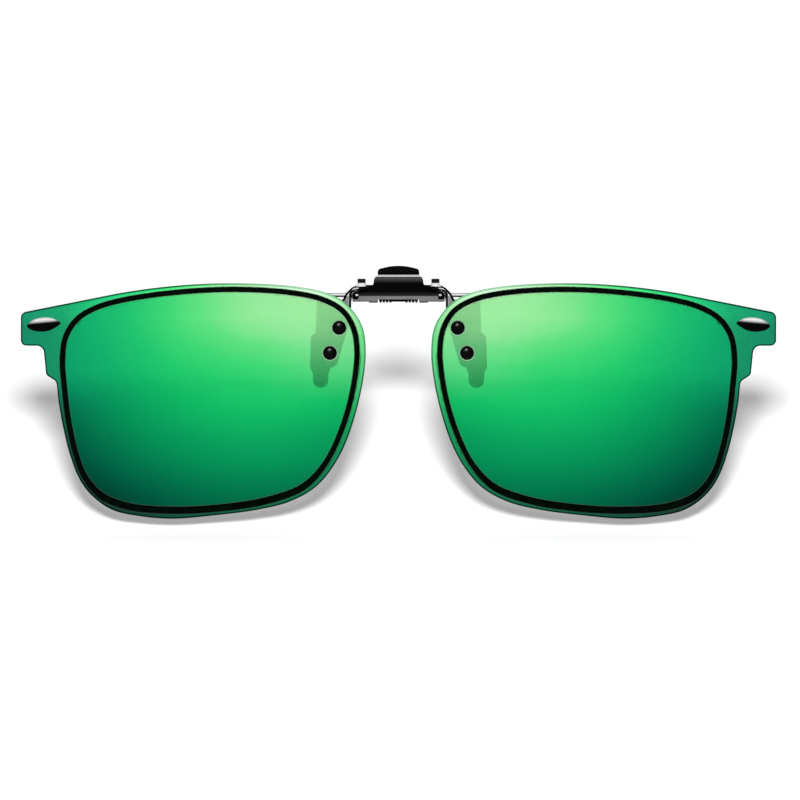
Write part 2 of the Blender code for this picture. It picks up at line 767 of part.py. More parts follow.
def add_trim(name, side, looks, parent):
    """An almond-shaped dome on the end piece."""
    outline = smooth_loop(TRIM_OUTLINE, 2)
    mesh = bmesh.new()
    levels = ((0.0, SEAT), (0.0, 0.2), (0.35, 0.42), (0.8, TRIM_HEIGHT))
    loops = []
    for inset, height in levels:
        loop = offset_loop(outline, lambda z: -inset)
        loops.append((loop, add_loop(mesh, loop, on_front(side, LENS_FRONT - height))))
    for (_, low), (_, high) in zip(loops, loops[1:]):
        add_wall(mesh, low, high)
    for loop, verts in (loops[0], loops[-1]):
        add_cap(mesh, [loop], [verts])
    wrap_back(mesh, side)
    add_object(f"end_trim_{name}", mesh, looks["trim_black"], parent, smooth=True)


def head_profile():
    """Dome head and shank, from the head's crown to the shank's end, as (radius, height)."""
    seat = -LENS_FRONT + FRONT_WASHER + SEAT
    edge = 0.2
    dome = [(0, seat + HEAD_HEIGHT)]
    for step in range(1, 5):
        turn = math.radians(90 - 22.5 * step)
        height = edge + (HEAD_HEIGHT - edge) * math.sin(turn)
        dome.append((HEAD_R * math.cos(turn), seat + height))
    return dome + [(HEAD_R, seat), (SHANK_R, seat), (SHANK_R, -SHANK_END), (0, -SHANK_END)]


def add_screw_stack(name, side, place, looks, parent):
    """One screw through its washers, the lens, the arm and its nut."""
    u, z = place
    centre = (side * u, 0, z)
    axis = (0, -1, 0)
    screw = turned(head_profile(), centre, axis, 18)
    add_object(f"lens_screw_{name}", screw, looks["black_screw"], parent, smooth=True)
    front_low = -LENS_FRONT + SEAT / 2
    washer = sleeve(SHANK_HOLE_R, FRONT_WASHER_R, front_low, front_low + FRONT_WASHER, centre, axis, 18)
    add_object(f"screw_washer_{name}", washer, looks["clear_nylon"], parent, smooth=True)
    back_low = -ARM_FRONT + SEAT
    back = sleeve(SHANK_HOLE_R, BACK_WASHER_R, back_low, -LENS_BACK - SEAT, centre, axis, 18)
    add_object(f"back_washer_{name}", back, looks["clear_nylon"], parent, smooth=True)
    nut = sleeve(SHANK_HOLE_R, NUT_R, -NUT_BACK, -ARM_BACK - SEAT, centre, axis, 18)
    add_object(f"lens_nut_{name}", nut, looks["steel"], parent, smooth=True)


def add_flip_bridge(looks):
    axis = add_axis("flip_axis")
    for name, side in SIDES:
        add_arm(name, side, looks, axis)
        add_stop(name, side, looks, axis)
        add_lens(name, side, looks, axis)
        add_ring(name, side, looks, axis)
        add_trim(name, side, looks, axis)
        for number, place in enumerate(SCREW_PLACES, start=1):
            add_screw_stack(f"{name}_{number}", side, place, looks, axis)


def main():
    for old in list(bpy.data.objects):
        bpy.data.objects.remove(old)
    looks = make_looks()
    add_front_jaw(looks)
    add_rear_jaw(looks)
    add_flip_bridge(looks)
    bpy.context.view_layer.update()


main()
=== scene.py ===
"""Looks for the flip-up clip-on sunglasses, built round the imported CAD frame.

Frame: +X is the wearer's left, -Y is the front, +Z is up. Shapes are written in
millimetres, outlines for the +X side as (u, z), where u is the distance from the middle
plane, and become metres when a piece is made.
"""

import json
import math

import bmesh
import bpy
from mathutils import Matrix, Vector
from mathutils.geometry import tessellate_polygon

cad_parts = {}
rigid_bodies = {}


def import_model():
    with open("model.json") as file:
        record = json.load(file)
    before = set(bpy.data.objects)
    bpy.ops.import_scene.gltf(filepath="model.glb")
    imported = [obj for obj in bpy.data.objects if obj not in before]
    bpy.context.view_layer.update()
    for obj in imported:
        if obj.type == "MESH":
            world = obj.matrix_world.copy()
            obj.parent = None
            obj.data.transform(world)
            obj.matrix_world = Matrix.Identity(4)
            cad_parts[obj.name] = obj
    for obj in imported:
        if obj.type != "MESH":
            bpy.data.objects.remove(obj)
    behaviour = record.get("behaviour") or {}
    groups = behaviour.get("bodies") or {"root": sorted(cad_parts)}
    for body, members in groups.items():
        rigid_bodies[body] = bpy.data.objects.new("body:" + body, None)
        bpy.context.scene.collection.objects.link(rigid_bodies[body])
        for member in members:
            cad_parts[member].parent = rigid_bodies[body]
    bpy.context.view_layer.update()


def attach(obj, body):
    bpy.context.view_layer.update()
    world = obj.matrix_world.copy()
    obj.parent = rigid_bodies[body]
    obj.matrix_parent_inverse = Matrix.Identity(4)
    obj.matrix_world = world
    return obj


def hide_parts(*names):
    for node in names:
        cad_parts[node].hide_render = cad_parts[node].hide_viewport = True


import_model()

MM = 0.001
MERGE = 0.0005
SIDES = (("right", -1), ("left", 1))

# Hinge pin
PIN_Y = -4.0
PIN_Z = 1.1
PIN_R = 0.4
PIN_HOLE_R = 0.45
PIN_HEAD_R = 0.75
PIN_HEAD = 0.3
PIN_PLAY = 0.08

# Housing
BARREL_R = 2.17
BARREL_FRONT = PIN_Y - BARREL_R
BARREL_HALF = 8.85
BARREL_ROUND = 2.65
BARREL_DROP = 0.72
BARREL_POWER = 1.5
BARREL_STEP = 0.776
EAR_DROP = 0.56
EAR_INSET = 0.23
EAR_SUNK = 0.13
EAR_BACK = 0.93
EAR_LIFT = 0.1
SHEET = 0.4
CURL_R = 1.1
CURL_END = 0.3
BARREL_BACK_DEG = 75
THUMB_TOP = 4.85
THUMB_FOOT = 0.9
THUMB_SUNK = 0.04
THUMB_SET_BACK = 0.33
THUMB_THICK = 0.5
END_EAR = 0.6
WINDOW_HALF = 3.95
WINDOW_TOP = 0.46
NOTCH_INNER = 7.66
NOTCH_OUTER = 8.5
NOTCH_BOTTOM = 0.46
NOTCH_TOP = 1.12
NOTCH_CLEAR = 0.3
CUT_CLEAR = 1
# The painted glint on the front of the barrel's ends, as (u, z)
GLINT_U = 8.03
GLINT_Z = 1.32
LIP_INNER = 4.02
LIP_OUTER = 5.7
LIP_DROP = 0.2
LIP_HALF = 0.2
LIP_SUNK = 0.2
BUSH_R = 0.64
BUSH_INNER = 7.7
BUSH_OUTER = 8.88

# Torsion spring
COIL_R = 1.05
WIRE_R = 0.25
COIL_OUTER = 3.62
COIL_INNER = 1.5
COIL_TURNS = 3
COIL_STEP_DEG = 10
BAR_DEG = 125.2
SPRING_LEG = 0.45

# Lens arms
ARM_FRONT = -6.7
ARM_BACK = -6.15
ARM_EAR_SUNK = 0.2
ARM_EAR_PLAY = 0.02
EAR_INNER = 9.1
EAR_THICK = 0.55
EAR_R = 0.9
WASHER_INNER = 8.93
WASHER_OUTER = 9.06
FINGER_TOP = 2.93
FINGER_BOTTOM = 2.25
STOP_U = 7.12
STOP_Y = -6.42
COLLAR_R = 0.92
COLLAR_TOP = 3.6
BUMPER_R = 0.78
BUMPER_TOP = 4.45
KNOB_RIBS = 16
KNOB_RIB = 0.035

# Lenses
LENS_BACK = -6.95
LENS_FRONT = -7.9
GROOVE_DEPTH = 0.35
GROOVE_GAP = 0.04
RING_PROUD = 0.05
RING_WIDTH = 0.97
RING_WIDTH_LOW = 1.32
RING_WIDENS = -30.0
RING_WIDENING = 8.0
WRAP_START = 16.0
WRAP_RADIUS = 450.0
WRAP_STEP = 3.0
WRAP_END = 73.0
TRIM_HEIGHT = 0.55
TRIM_WALL = 0.14
TRIM_DOME = 0.95

# Lens screws, as (u, z)
SCREW_PLACES = ((11.42, -4.99), (13.2, -9.84))
HEAD_R = 1.35
HEAD_HEIGHT = 0.85
HEAD_EDGE = 0.2
SHANK_R = 0.55
SHANK_HOLE_R = 0.6
SHANK_END = -5.1
NUT_R = 1.15
NUT_BACK = -5.3
FRONT_WASHER_R = 1.53
FRONT_WASHER = 0.2
BACK_WASHER_R = 1.45

# Gripping legs
LEG_NEAR = 2.25
LEG_FAR = 2.75
BAR_TOP = 1.66
BAR_BOTTOM = 0.89
PAD_FACE = 1.1
PAD_FAR = 3.15
SEAT = 0.03

# Rear jaw
WEB_BOTTOM = 1.85
WEB_TOP = 2.25
WEB_HALF = 5.9
WEB_FRONT = -2.6
FLANGE_FRONT = 1.65
FLANGE_BACK = 2.2
FLANGE_BOTTOM = 0.9
JAW_EAR_INNER = 4.7
JAW_EAR_OUTER = 5.3
JAW_EAR_R = 0.65
JAW_EAR_OVERLAP = 0.6
TAB_FRONT = -1.5
TAB_BACK = -1.05
TAB_HALF = 4.2
TAB_TOP = 5.18
GRIP_HALF = 4.02
GRIP_BOTTOM = 5.21
GRIP_TOP = 6.93
GRIP_RISE = 0.75
GRIP_DOME = 0.75
GRIP_FRONT = -2.35
GRIP_BACK = -0.35

# The panel's edge from below its end piece, round the bottom, the nose side and the top
PANEL_SWEEP = (
    (65.6, -18.9), (64.8, -23.5), (63.5, -29.0), (61.6, -34.0), (59.2, -37.3), (55.2, -40.1),
    (50.0, -41.3), (43.6, -41.8), (36.0, -41.2), (27.4, -40.1), (21.0, -38.5), (16.0, -35.7),
    (12.5, -31.6), (10.1, -27.0), (8.2, -21.3), (6.9, -15.6), (6.3, -10.0), (6.75, -5.4),
    (8.1, -2.6), (10.9, 0.3), (14.6, 1.95), (20.0, 2.98), (28.0, 3.52), (37.0, 3.5),
    (46.0, 2.8), (54.0, 1.65),
)
# The end piece that follows it, as (u, z, corner radius)
END_PIECE = (
    (72.84, -2.1, 1.25), (72.84, -8.48, 1.1), (68.5, -8.48, 1.4), (67.95, -14.1, 1.1),
    (65.95, -15.35, 1.3),
)
# The middle line of the black ring
RING_LINE = (
    (52.9, 0.39), (43.6, 1.75), (32.1, 2.4), (20.5, 1.75), (14.3, 0.35), (10.7, -1.8),
    (8.7, -5.0), (8.0, -8.9), (8.25, -13.5), (9.4, -19.6), (11.5, -26.0), (14.3, -31.4),
    (18.3, -35.6), (25.1, -38.2), (34.4, -39.7), (43.6, -40.15), (52.2, -39.4), (57.4, -37.3),
    (60.4, -33.9), (62.3, -28.9), (63.65, -22.7), (64.4, -16.6), (64.8, -11.0), (64.1, -6.6),
    (61.9, -3.3), (58.2, -1.1),
)
TRIM_OUTLINE = (
    (71.65, -4.7), (70.8, -5.45), (68.2, -5.75), (66.3, -5.05), (65.2, -4.1), (66.4, -3.25),
    (68.4, -3.0), (70.6, -3.55),
)


# Outlines --------


def circle(u, z, radius, steps):
    turns = (2 * math.pi * step / steps for step in range(steps))
    return [(u + radius * math.cos(turn), z + radius * math.sin(turn)) for turn in turns]


def arc(u, z, radius, first_deg, last_deg, steps):
    points = []
    for step in range(steps + 1):
        turn = math.radians(first_deg + (last_deg - first_deg) * step / steps)
        points.append((u + radius * math.cos(turn), z + radius * math.sin(turn)))
    return points


def fillet(before, corner, after, radius, steps=8):
    """The arc that rounds one corner of a polygon."""
    here = Vector(corner)
    back = (Vector(before) - here).normalized()
    ahead = (Vector(after) - here).normalized()
    half = back.angle(ahead) / 2
    reach = radius / math.tan(half)
    centre = here + (back + ahead).normalized() * radius / math.sin(half)
    first = here + back * reach - centre
    last = here + ahead * reach - centre
    sweep = first.angle_signed(last)
    points = []
    for step in range(steps + 1):
        spoke = Matrix.Rotation(-sweep * step / steps, 2) @ first
        points.append(tuple(centre + spoke))
    return points


def rounded(corners, closed=True, steps=8):
    """A polygon whose corners are (u, z, radius), with radius 0 for a sharp one."""
    points = []
    count = len(corners)
    for index, (u, z, radius) in enumerate(corners):
        at_end = not closed and index in (0, count - 1)
        if at_end or radius == 0:
            points.append((u, z))
            continue
        before = corners[index - 1][:2]
        after = corners[(index + 1) % count][:2]
        points.extend(fillet(before, (u, z), after, radius, steps))
    return points


def blend(first, second, time, low, high):
    return first.lerp(second, (time - low) / (high - low))


def through(before, start, end, after, steps):
    """Points of a centripetal Catmull-Rom curve from start up to, but not at, end."""
    p0, p1, p2, p3 = (Vector(point) for point in (before, start, end, after))
    t1 = math.sqrt((p1 - p0).length)
    t2 = t1 + math.sqrt((p2 - p1).length)
    t3 = t2 + math.sqrt((p3 - p2).length)
    points = []
    for step in range(steps):
        time = t1 + (t2 - t1) * step / steps
        middle = blend(p1, p2, time, t1, t2)
        earlier = blend(blend(p0, p1, time, 0, t1), middle, time, 0, t2)
        later = blend(middle, blend(p2, p3, time, t2, t3), time, t1, t3)
        points.append(tuple(blend(earlier, later, time, t1, t2)))
    return points


def smooth_run(points, before, after, steps):
    """A smooth curve through points, with a point before and after that shape its ends."""
    whole = (before, *points, after)
    run = []
    for index in range(1, len(whole) - 2):
        run += through(*whole[index - 1:index + 3], steps)
    return run + [points[-1]]


def smooth_loop(points, steps):
    return smooth_run((*points, points[0]), points[-1], points[1], steps)[:-1]


def offset_loop(loop, distance_at):
    """The loop moved outwards by distance_at(z) at each point."""
    area = sum(a[0] * b[1] - b[0] * a[1] for a, b in zip(loop, loop[1:] + loop[:1]))
    outward = 1 if area > 0 else -1
    moved = []
    for index, (u, z) in enumerate(loop):
        ahead = loop[(index + 1) % len(loop)]
        along = (Vector(ahead) - Vector(loop[index - 1])).normalized()
        reach = outward * distance_at(z)
        moved.append((u + along.y * reach, z - along.x * reach))
    return moved


def grown(loop, distance):
    return offset_loop(loop, lambda z: distance)


def panel_outline():
    corners = ((54.0, 1.65, 0), *END_PIECE, (65.6, -18.9, 0))
    end_piece = rounded(corners, closed=False)[1:-1]
    return smooth_run(PANEL_SWEEP, (65.85, -16.6), (60.0, 0.52), 8) + end_piece


def ring_half_width(z):
    """The ring is wider along the bottom than round the rest."""
    share = min(max((RING_WIDENS - z) / RING_WIDENING, 0.0), 1.0)
    eased = share * share * (3 - 2 * share)
    return (RING_WIDTH + (RING_WIDTH_LOW - RING_WIDTH) * eased) / 2


def ring_loop(reach):
    """A loop along the ring at a reach from its middle, where 1 is its outer edge."""
    line = smooth_loop(RING_LINE, 6)
    return offset_loop(line, lambda z: reach * ring_half_width(z))


# Solids --------


def on_front(side, depth):
    """Places an outline (u, z) at one depth along Y, on one side."""
    return lambda a, b: Vector((side * a, depth, b))


def on_side(x):
    """Places an outline (y, z) in the plane at one x."""
    return lambda a, b: Vector((x, a, b))


def add_loop(mesh, outline, place):
    return [mesh.verts.new(place(a, b)) for a, b in outline]


def add_cap(mesh, outlines, loops, look=0):
    corners = [vert for loop in loops for vert in loop]
    flat = [[Vector((a, b, 0)) for a, b in outline] for outline in outlines]
    for triangle in tessellate_polygon(flat):
        mesh.faces.new([corners[index] for index in triangle]).material_index = look


def add_wall(mesh, loop, other, look=0):
    for index in range(len(loop)):
        face = mesh.faces.new((loop[index - 1], loop[index], other[index], other[index - 1]))
        face.material_index = look


def round_levels(radius, steps):
    """Insets and depths of a rounded edge, from the flat face down to the wall."""
    levels = []
    for step in range(steps + 1):
        turn = math.pi / 2 * step / steps
        levels.append((radius * (1 - math.sin(turn)), radius * (1 - math.cos(turn))))
    return levels


def plate(outlines, place_at, near, far, radius, steps=3):
    """A plate with rounded edges, with the later outlines as holes.

    place_at(depth) gives the placement of an outline.
    """
    inward = 1 if far > near else -1
    levels = round_levels(radius, steps)
    mesh = bmesh.new()
    ends = []
    for start, way in ((near, inward), (far, -inward)):
        rings = []
        for inset, depth in levels:
            loops = []
            for number, outline in enumerate(outlines):
                loop = grown(outline, -inset if number == 0 else inset)
                loops.append((loop, add_loop(mesh, loop, place_at(start + way * depth))))
            rings.append(loops)
        add_cap(mesh, [loop for loop, _ in rings[0]], [verts for _, verts in rings[0]])
        for upper, lower in zip(rings, rings[1:]):
            for (_, high), (_, low) in zip(upper, lower):
                add_wall(mesh, high, low)
        ends.append(rings[-1])
    for (_, first), (_, second) in zip(*ends):
        add_wall(mesh, first, second)
    return mesh


def front_plate(outlines, side, near, far, radius, steps=3):
    return plate(outlines, lambda depth: on_front(side, depth), near, far, radius, steps)


def side_plate(outlines, near, far, radius, steps=3):
    return plate(outlines, on_side, near, far, radius, steps)


def block(low, high, radius=0.0):
    """A block between two corners, with rounded edges where there is a radius."""
    mesh = bmesh.new()
    middle = (Vector(low) + Vector(high)) / 2
    size = Vector(high) - Vector(low)
    place = Matrix.Translation(middle) @ Matrix.Diagonal((*size, 1))
    bmesh.ops.create_cube(mesh, size=1, matrix=place)
    if radius:
        bmesh.ops.bevel(
            mesh, geom=mesh.edges[:], offset=radius, segments=3, profile=0.5, affect="EDGES",
            clamp_overlap=True,
        )
    return mesh


def side_block(side, inner, outer, low, high, radius=0.0):
    """A block from inner to outer on one side, between two corners (y, z)."""
    first, last = sorted((side * inner, side * outer))
    return block((first, *low), (last, *high), radius)


def turned(profile, centre, axis, steps=48, closed=False):
    """Spins a profile of (radius, height) about an axis through centre."""
    along = Vector(axis)
    across = along.orthogonal().normalized()
    mesh = bmesh.new()
    verts = [mesh.verts.new(Vector(centre) + across * r + along * h) for r, h in profile]
    edges = [mesh.edges.new(pair) for pair in zip(verts, verts[1:])]
    if closed:
        edges.append(mesh.edges.new((verts[-1], verts[0])))
    bmesh.ops.spin(
        mesh, geom=verts + edges, cent=centre, axis=along, angle=2 * math.pi, steps=steps,
        use_merge=True,
    )
    bmesh.ops.remove_doubles(mesh, verts=mesh.verts[:], dist=MERGE)
    return mesh


def sleeve(inner_r, outer_r, low, high, radius, centre, axis):
    """A tube whose four rims are rounded."""
    profile = rounded((
        (inner_r, low, radius), (outer_r, low, radius), (outer_r, high, radius),
        (inner_r, high, radius),
    ), steps=3)
    return turned(profile, centre, axis, closed=True)


def wrap(mesh, side):
    """Curves a flat piece of the lens panel back towards the temple."""
    knot = WRAP_START
    while knot < WRAP_END:
        every = mesh.verts[:] + mesh.edges[:] + mesh.faces[:]
        place = Vector((side * knot, 0, 0))
        bmesh.ops.bisect_plane(mesh, geom=every, dist=MERGE, plane_co=place, plane_no=(1, 0, 0))
        knot += WRAP_STEP
    for vert in mesh.verts:
        reach = max(abs(vert.co.x) - WRAP_START, 0.0)
        vert.co.y += reach * reach / (2 * WRAP_RADIUS)


def in_scene(name, data):
    made = bpy.data.objects.new(name, data)
    bpy.context.scene.collection.objects.link(made)
    return made


def to_object(name, mesh):
    """An object from a mesh in millimetres."""
    bmesh.ops.recalc_face_normals(mesh, faces=mesh.faces[:])
    bmesh.ops.scale(mesh, vec=(MM, MM, MM), verts=mesh.verts[:])
    data = bpy.data.meshes.new(name)
    mesh.to_mesh(data)
    mesh.free()
    return in_scene(name, data)


def combined(first, *others):
    """Joins (mesh, operation) pairs to a first mesh with exact booleans, as a new mesh."""
    target = to_object("combining", first)
    for _ in range(2):  # so that faces keep their material numbers
        target.data.materials.append(None)
    tools = []
    for mesh, operation in others:
        tool = to_object("tool", mesh)
        tools.append(tool)
        modifier = target.modifiers.new(operation.title(), "BOOLEAN")
        modifier.object = tool
        modifier.operation = operation
        modifier.solver = "EXACT"
    bpy.context.view_layer.update()
    result = target.evaluated_get(bpy.context.evaluated_depsgraph_get())
    mesh = bmesh.new()
    mesh.from_mesh(result.to_mesh())
    bmesh.ops.scale(mesh, vec=(1 / MM,) * 3, verts=mesh.verts[:])
    result.to_mesh_clear()
    for made in (target, *tools):
        data = made.data
        bpy.data.objects.remove(made)
        bpy.data.meshes.remove(data)
    return mesh


def ridden(made, body, node):
    """Hides the CAD part that a visible piece stands for and puts the piece on its body."""
    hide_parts(node)
    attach(made, body)


def piece(name, mesh, looks, body, node, crease=40, weighted=True):
    """Makes a visible piece from a mesh in millimetres, with its looks by their keys."""
    made = to_object(name, mesh)
    for key in looks.split():
        made.data.materials.append(LOOKS[key])
    made.data.shade_smooth()
    made.data.set_sharp_from_angle(angle=math.radians(crease))
    if weighted:
        even = made.modifiers.new("EvenNormals", "WEIGHTED_NORMAL")
        even.keep_sharp = True
        even.weight = 80
    ridden(made, body, node)


# Materials --------


def linear(red, green, blue):
    """A screen colour of 0 to 255 as scene light."""
    return tuple(
        value / 12.92 if value <= 0.04045 else ((value + 0.055) / 1.055) ** 2.4
        for value in (red / 255, green / 255, blue / 255)
    )


def grey(value):
    return (value, value, value)


def is_socket(value):
    return isinstance(value, bpy.types.NodeSocket)


def opaque(colour):
    """A colour as a node takes it, or the socket it comes from."""
    return colour if is_socket(colour) else (*colour, 1)


class Nodes:
    """A node tree that is put together node by node."""

    def __init__(self, tree):
        self.tree = tree
        tree.nodes.clear()

    def node(self, kind, inputs=None, **settings):
        made = self.tree.nodes.new("ShaderNode" + kind)
        for key, value in settings.items():
            setattr(made, key, value)
        for key, value in (inputs or {}).items():
            if is_socket(value):
                self.tree.links.new(value, made.inputs[key])
            else:
                made.inputs[key].default_value = value
        return made

    def out(self, kind, inputs=None, output=0, **settings):
        """One output of a new node."""
        return self.node(kind, inputs, **settings).outputs[output]

    def math(self, operation, first, second=0.0, clamp=False):
        inputs = {0: first, 1: second}
        return self.out("Math", inputs, operation=operation, use_clamp=clamp)

    def plus(self, first, second, clamp=False):
        return self.math("ADD", first, second, clamp)

    def minus(self, first, second):
        return self.math("SUBTRACT", first, second)

    def times(self, first, second):
        return self.math("MULTIPLY", first, second)

    def fitted(self, value, low, high, to_low=0.0, to_high=1.0, kind="LINEAR"):
        """Goes from to_low to to_high as the value goes from low to high."""
        inputs = {0: value, 1: low, 2: high, 3: to_low, 4: to_high}
        return self.out("MapRange", inputs, interpolation_type=kind)

    def eased(self, *bounds):
        """The same with soft ends."""
        return self.fitted(*bounds, kind="SMOOTHSTEP")

    def mixed(self, share, first, second):
        inputs = {"Factor": share, 6: opaque(first), 7: opaque(second)}
        return self.out("Mix", inputs, 2, data_type="RGBA", clamp_factor=True)

    def either(self, share, first, second):
        """The first shader, and the second by its share."""
        return self.out("MixShader", {0: share, 1: first, 2: second})

    def ramp(self, value, stops):
        made = self.node("ValToRGB", {0: value})
        bar = made.color_ramp
        while len(bar.elements) < len(stops):
            bar.elements.new(0.5)
        for element, (place, colour) in zip(bar.elements, stops):
            element.position = place
            element.color = (*colour, 1)
        return made.outputs[0]


class Look(Nodes):
    """A material. Its places and sizes are in millimetres of the object's own frame."""

    def __init__(self, name):
        self.material = bpy.data.materials.new(name)
        self.material.use_nodes = True
        super().__init__(self.material.node_tree)
        self.place = self.out("TexCoord", output="Object")

    def axis(self, number):
        split = self.node("SeparateXYZ", {0: self.place})
        return self.times(split.outputs[number], 1 / MM)

    def across(self):
        """The distance from the middle plane."""
        return self.math("ABSOLUTE", self.axis(0))

    def height(self):
        return self.axis(2)

    def noise(self, scale, detail=3.0, roughness=0.5, stretch=(1, 1, 1)):
        """Noise with a scale per millimetre, drawn out where stretch is small."""
        factors = tuple(scale * share / MM for share in stretch)
        inputs = {0: self.place, 1: factors}
        spot = self.out("VectorMath", inputs, operation="MULTIPLY")
        inputs = {"Vector": spot, "Scale": 1.0, "Detail": detail, "Roughness": roughness}
        return self.out("TexNoise", inputs)

    def spread(self, noise, low=0.0, high=1.0):
        """Spreads the middle of a noise, where most of it lies, from low to high."""
        return self.fitted(noise, 0.3, 0.7, low, high)

    def scaled(self, colour, gain):
        """A colour times a number."""
        return self.out("VectorMath", {0: colour, "Scale": gain}, operation="SCALE")

    def bump(self, height, strength, depth):
        """A bump normal from a height, with its full depth in millimetres."""
        inputs = {"Height": height, "Strength": strength, "Distance": depth * MM}
        return self.out("Bump", inputs)

    def clear(self, colour):
        return self.out("BsdfTransparent", {0: opaque(colour)})

    def shader(self, colour, roughness, normal=None, gloss=0.5, **values):
        inputs = {
            "Roughness": roughness, "Base Color": opaque(colour), "Specular IOR Level": gloss,
        }
        if normal is not None:
            inputs["Normal"] = normal
        for key, value in values.items():
            inputs[key.replace("_", " ")] = value
        return self.out("BsdfPrincipled", inputs)

    def finish(self, shader):
        self.node("OutputMaterial", {"Surface": shader})
        return self.material

    def done(self, *inputs, **values):
        return self.finish(self.shader(*inputs, **values))


# The mirror coat's colours by level, from its darkest lower corner to its brightest upper one
# The green is the coat's own; its brightening towards the upper nose side is a painted reflection
COAT_STOPS = (
    (0.14, (4, 37, 26)), (0.22, (3, 56, 40)), (0.333, (1, 85, 61)), (0.42, (3, 107, 72)),
    (0.518, (5, 132, 82)), (0.62, (9, 158, 90)), (0.72, (17, 184, 99)), (0.80, (35, 204, 110)),
    (0.85, (62, 217, 118)), (0.89, (96, 227, 130)), (0.937, (160, 239, 162)),
    (1.0, (215, 253, 212)),
)
# The level's start, the height it starts from and the drop over which it falls
COAT_LEVEL = 239 / 255
COAT_TOP = -2.5
COAT_REACH = 34.7
COAT_FALL = 123 / 255
COAT_POWER = 1.36
# Its further fall by the squared distance from the brightest line, above and below
COAT_BEND = (0.030 / 255, 0.056 / 255)
COAT_CLOUD = 0.012
COAT_OUTER = (22, 152, 132)
# Painted light on the rim's narrow faces: a highlight gain at the crest, shade gains at the outer
# end and the nose, and the colours of the highlight and the shade
RIM_CREST_GAIN = 1.25
RIM_END_GAIN = 0.76
RIM_NOSE_GAIN = 0.88
RIM_HIGHLIGHT_COLOUR = (0.72, 0.86, 0.74)
RIM_SHADE_COLOUR = (0.0, 0.004, 0.002)
# The pale colour of the painted glare on the lenses' nose side
NOSE_GLARE_COLOUR = (0.95, 0.95, 0.92)
# The share of a lamp's light that each face of a lens lets through
FRONT_SHADOW = 0.12
BACK_SHADOW = 0.9
# The coat's strength by height, as (z, factor)
COAT_GAIN = (
    (-42.0, 0.85), (-37.2, 0.91), (-31.4, 0.975), (-25.6, 0.96), (-19.8, 1.086), (-14.0, 1.10),
    (-8.3, 1.054), (-2.5, 1.035), (4.0, 1.01),
)
SATIN = ((0.24, 0.24, 0.25), (0.34, 0.34, 0.35))


def coat_colour(look, lift):
    """The mirror coat's gradient, partly the coat's own and partly a painted reflection of a
    bright light: bright at the upper nose side, dark at the lower outer.
    """
    across = look.across()
    down = look.minus(COAT_TOP, look.height())
    share = look.math("MAXIMUM", look.math("DIVIDE", down, COAT_REACH), 0.0)
    fall = look.times(look.math("POWER", share, COAT_POWER), COAT_FALL)
    centre = look.fitted(share, 0.0, 0.62, 18.0, 27.0)
    bend = look.eased(share, 0.3, 0.55, *COAT_BEND)
    away = look.minus(across, centre)
    side_fall = look.times(look.times(away, away), bend)
    level = look.minus(look.minus(COAT_LEVEL + lift, fall), side_fall)
    cloud = look.times(look.minus(look.noise(0.12), 0.5), COAT_CLOUD)
    stops = [(place, linear(*colour)) for place, colour in COAT_STOPS]
    base = look.ramp(look.plus(level, cloud), stops)
    outward = look.fitted(across, 42.0, 74.0, 0.0, 0.5)
    upward = look.eased(share, 0.25, 0.65, 1.0, 0.0)
    return look.mixed(look.times(outward, upward), base, linear(*COAT_OUTER))


def strengthened(look, colour):
    """Makes up for what the back face and the light behind take from the see-through share.

    The ramp holds half of each factor, because its colours end at 1.
    """
    bottom, top = COAT_GAIN[0][0], COAT_GAIN[-1][0]
    place = look.fitted(look.height(), bottom, top)
    stops = [((z - bottom) / (top - bottom), grey(gain / 2)) for z, gain in COAT_GAIN]
    return look.scaled(colour, look.times(look.ramp(place, stops), 2.0))


def mirror_coat(name):
    """The front face: a coloured mirror coat that lets some light through."""
    look = Look(name)
    colour = strengthened(look, coat_colour(look, 0.0))
    across = look.across()
    height = look.height()
    # Painted glare: a pale wash on the nose side between these heights, standing in for the
    # reflected highlight
    nose = look.eased(across, 10.0, 30.0, 0.13, 0.0)
    upper = look.eased(height, -3.0, -7.0)
    lower = look.eased(height, -20.0, -8.0)
    nose_glare = look.times(nose, look.times(upper, lower))
    colour = look.mixed(nose_glare, colour, NOSE_GLARE_COLOUR)
    smears = look.noise(0.35, 4.0, 0.6, (1.0, 1.0, 0.45))
    rough = look.fitted(smears, 0.35, 0.75, 0.035, 0.085)
    ripple = look.bump(look.noise(0.09, 1.0), 0.25, 0.012)
    coat = look.shader(colour, rough, ripple, Metallic=1.0)
    through = look.clear(colour)
    high = look.fitted(height, -16.0, -2.5, 0.40, 0.70)
    low = look.fitted(height, -26.0, -16.0, 0.60, 0.0)
    glass = look.either(look.plus(high, low, clamp=True), through, coat)
    return look.finish(grey_shadow(look, glass, FRONT_SHADOW))


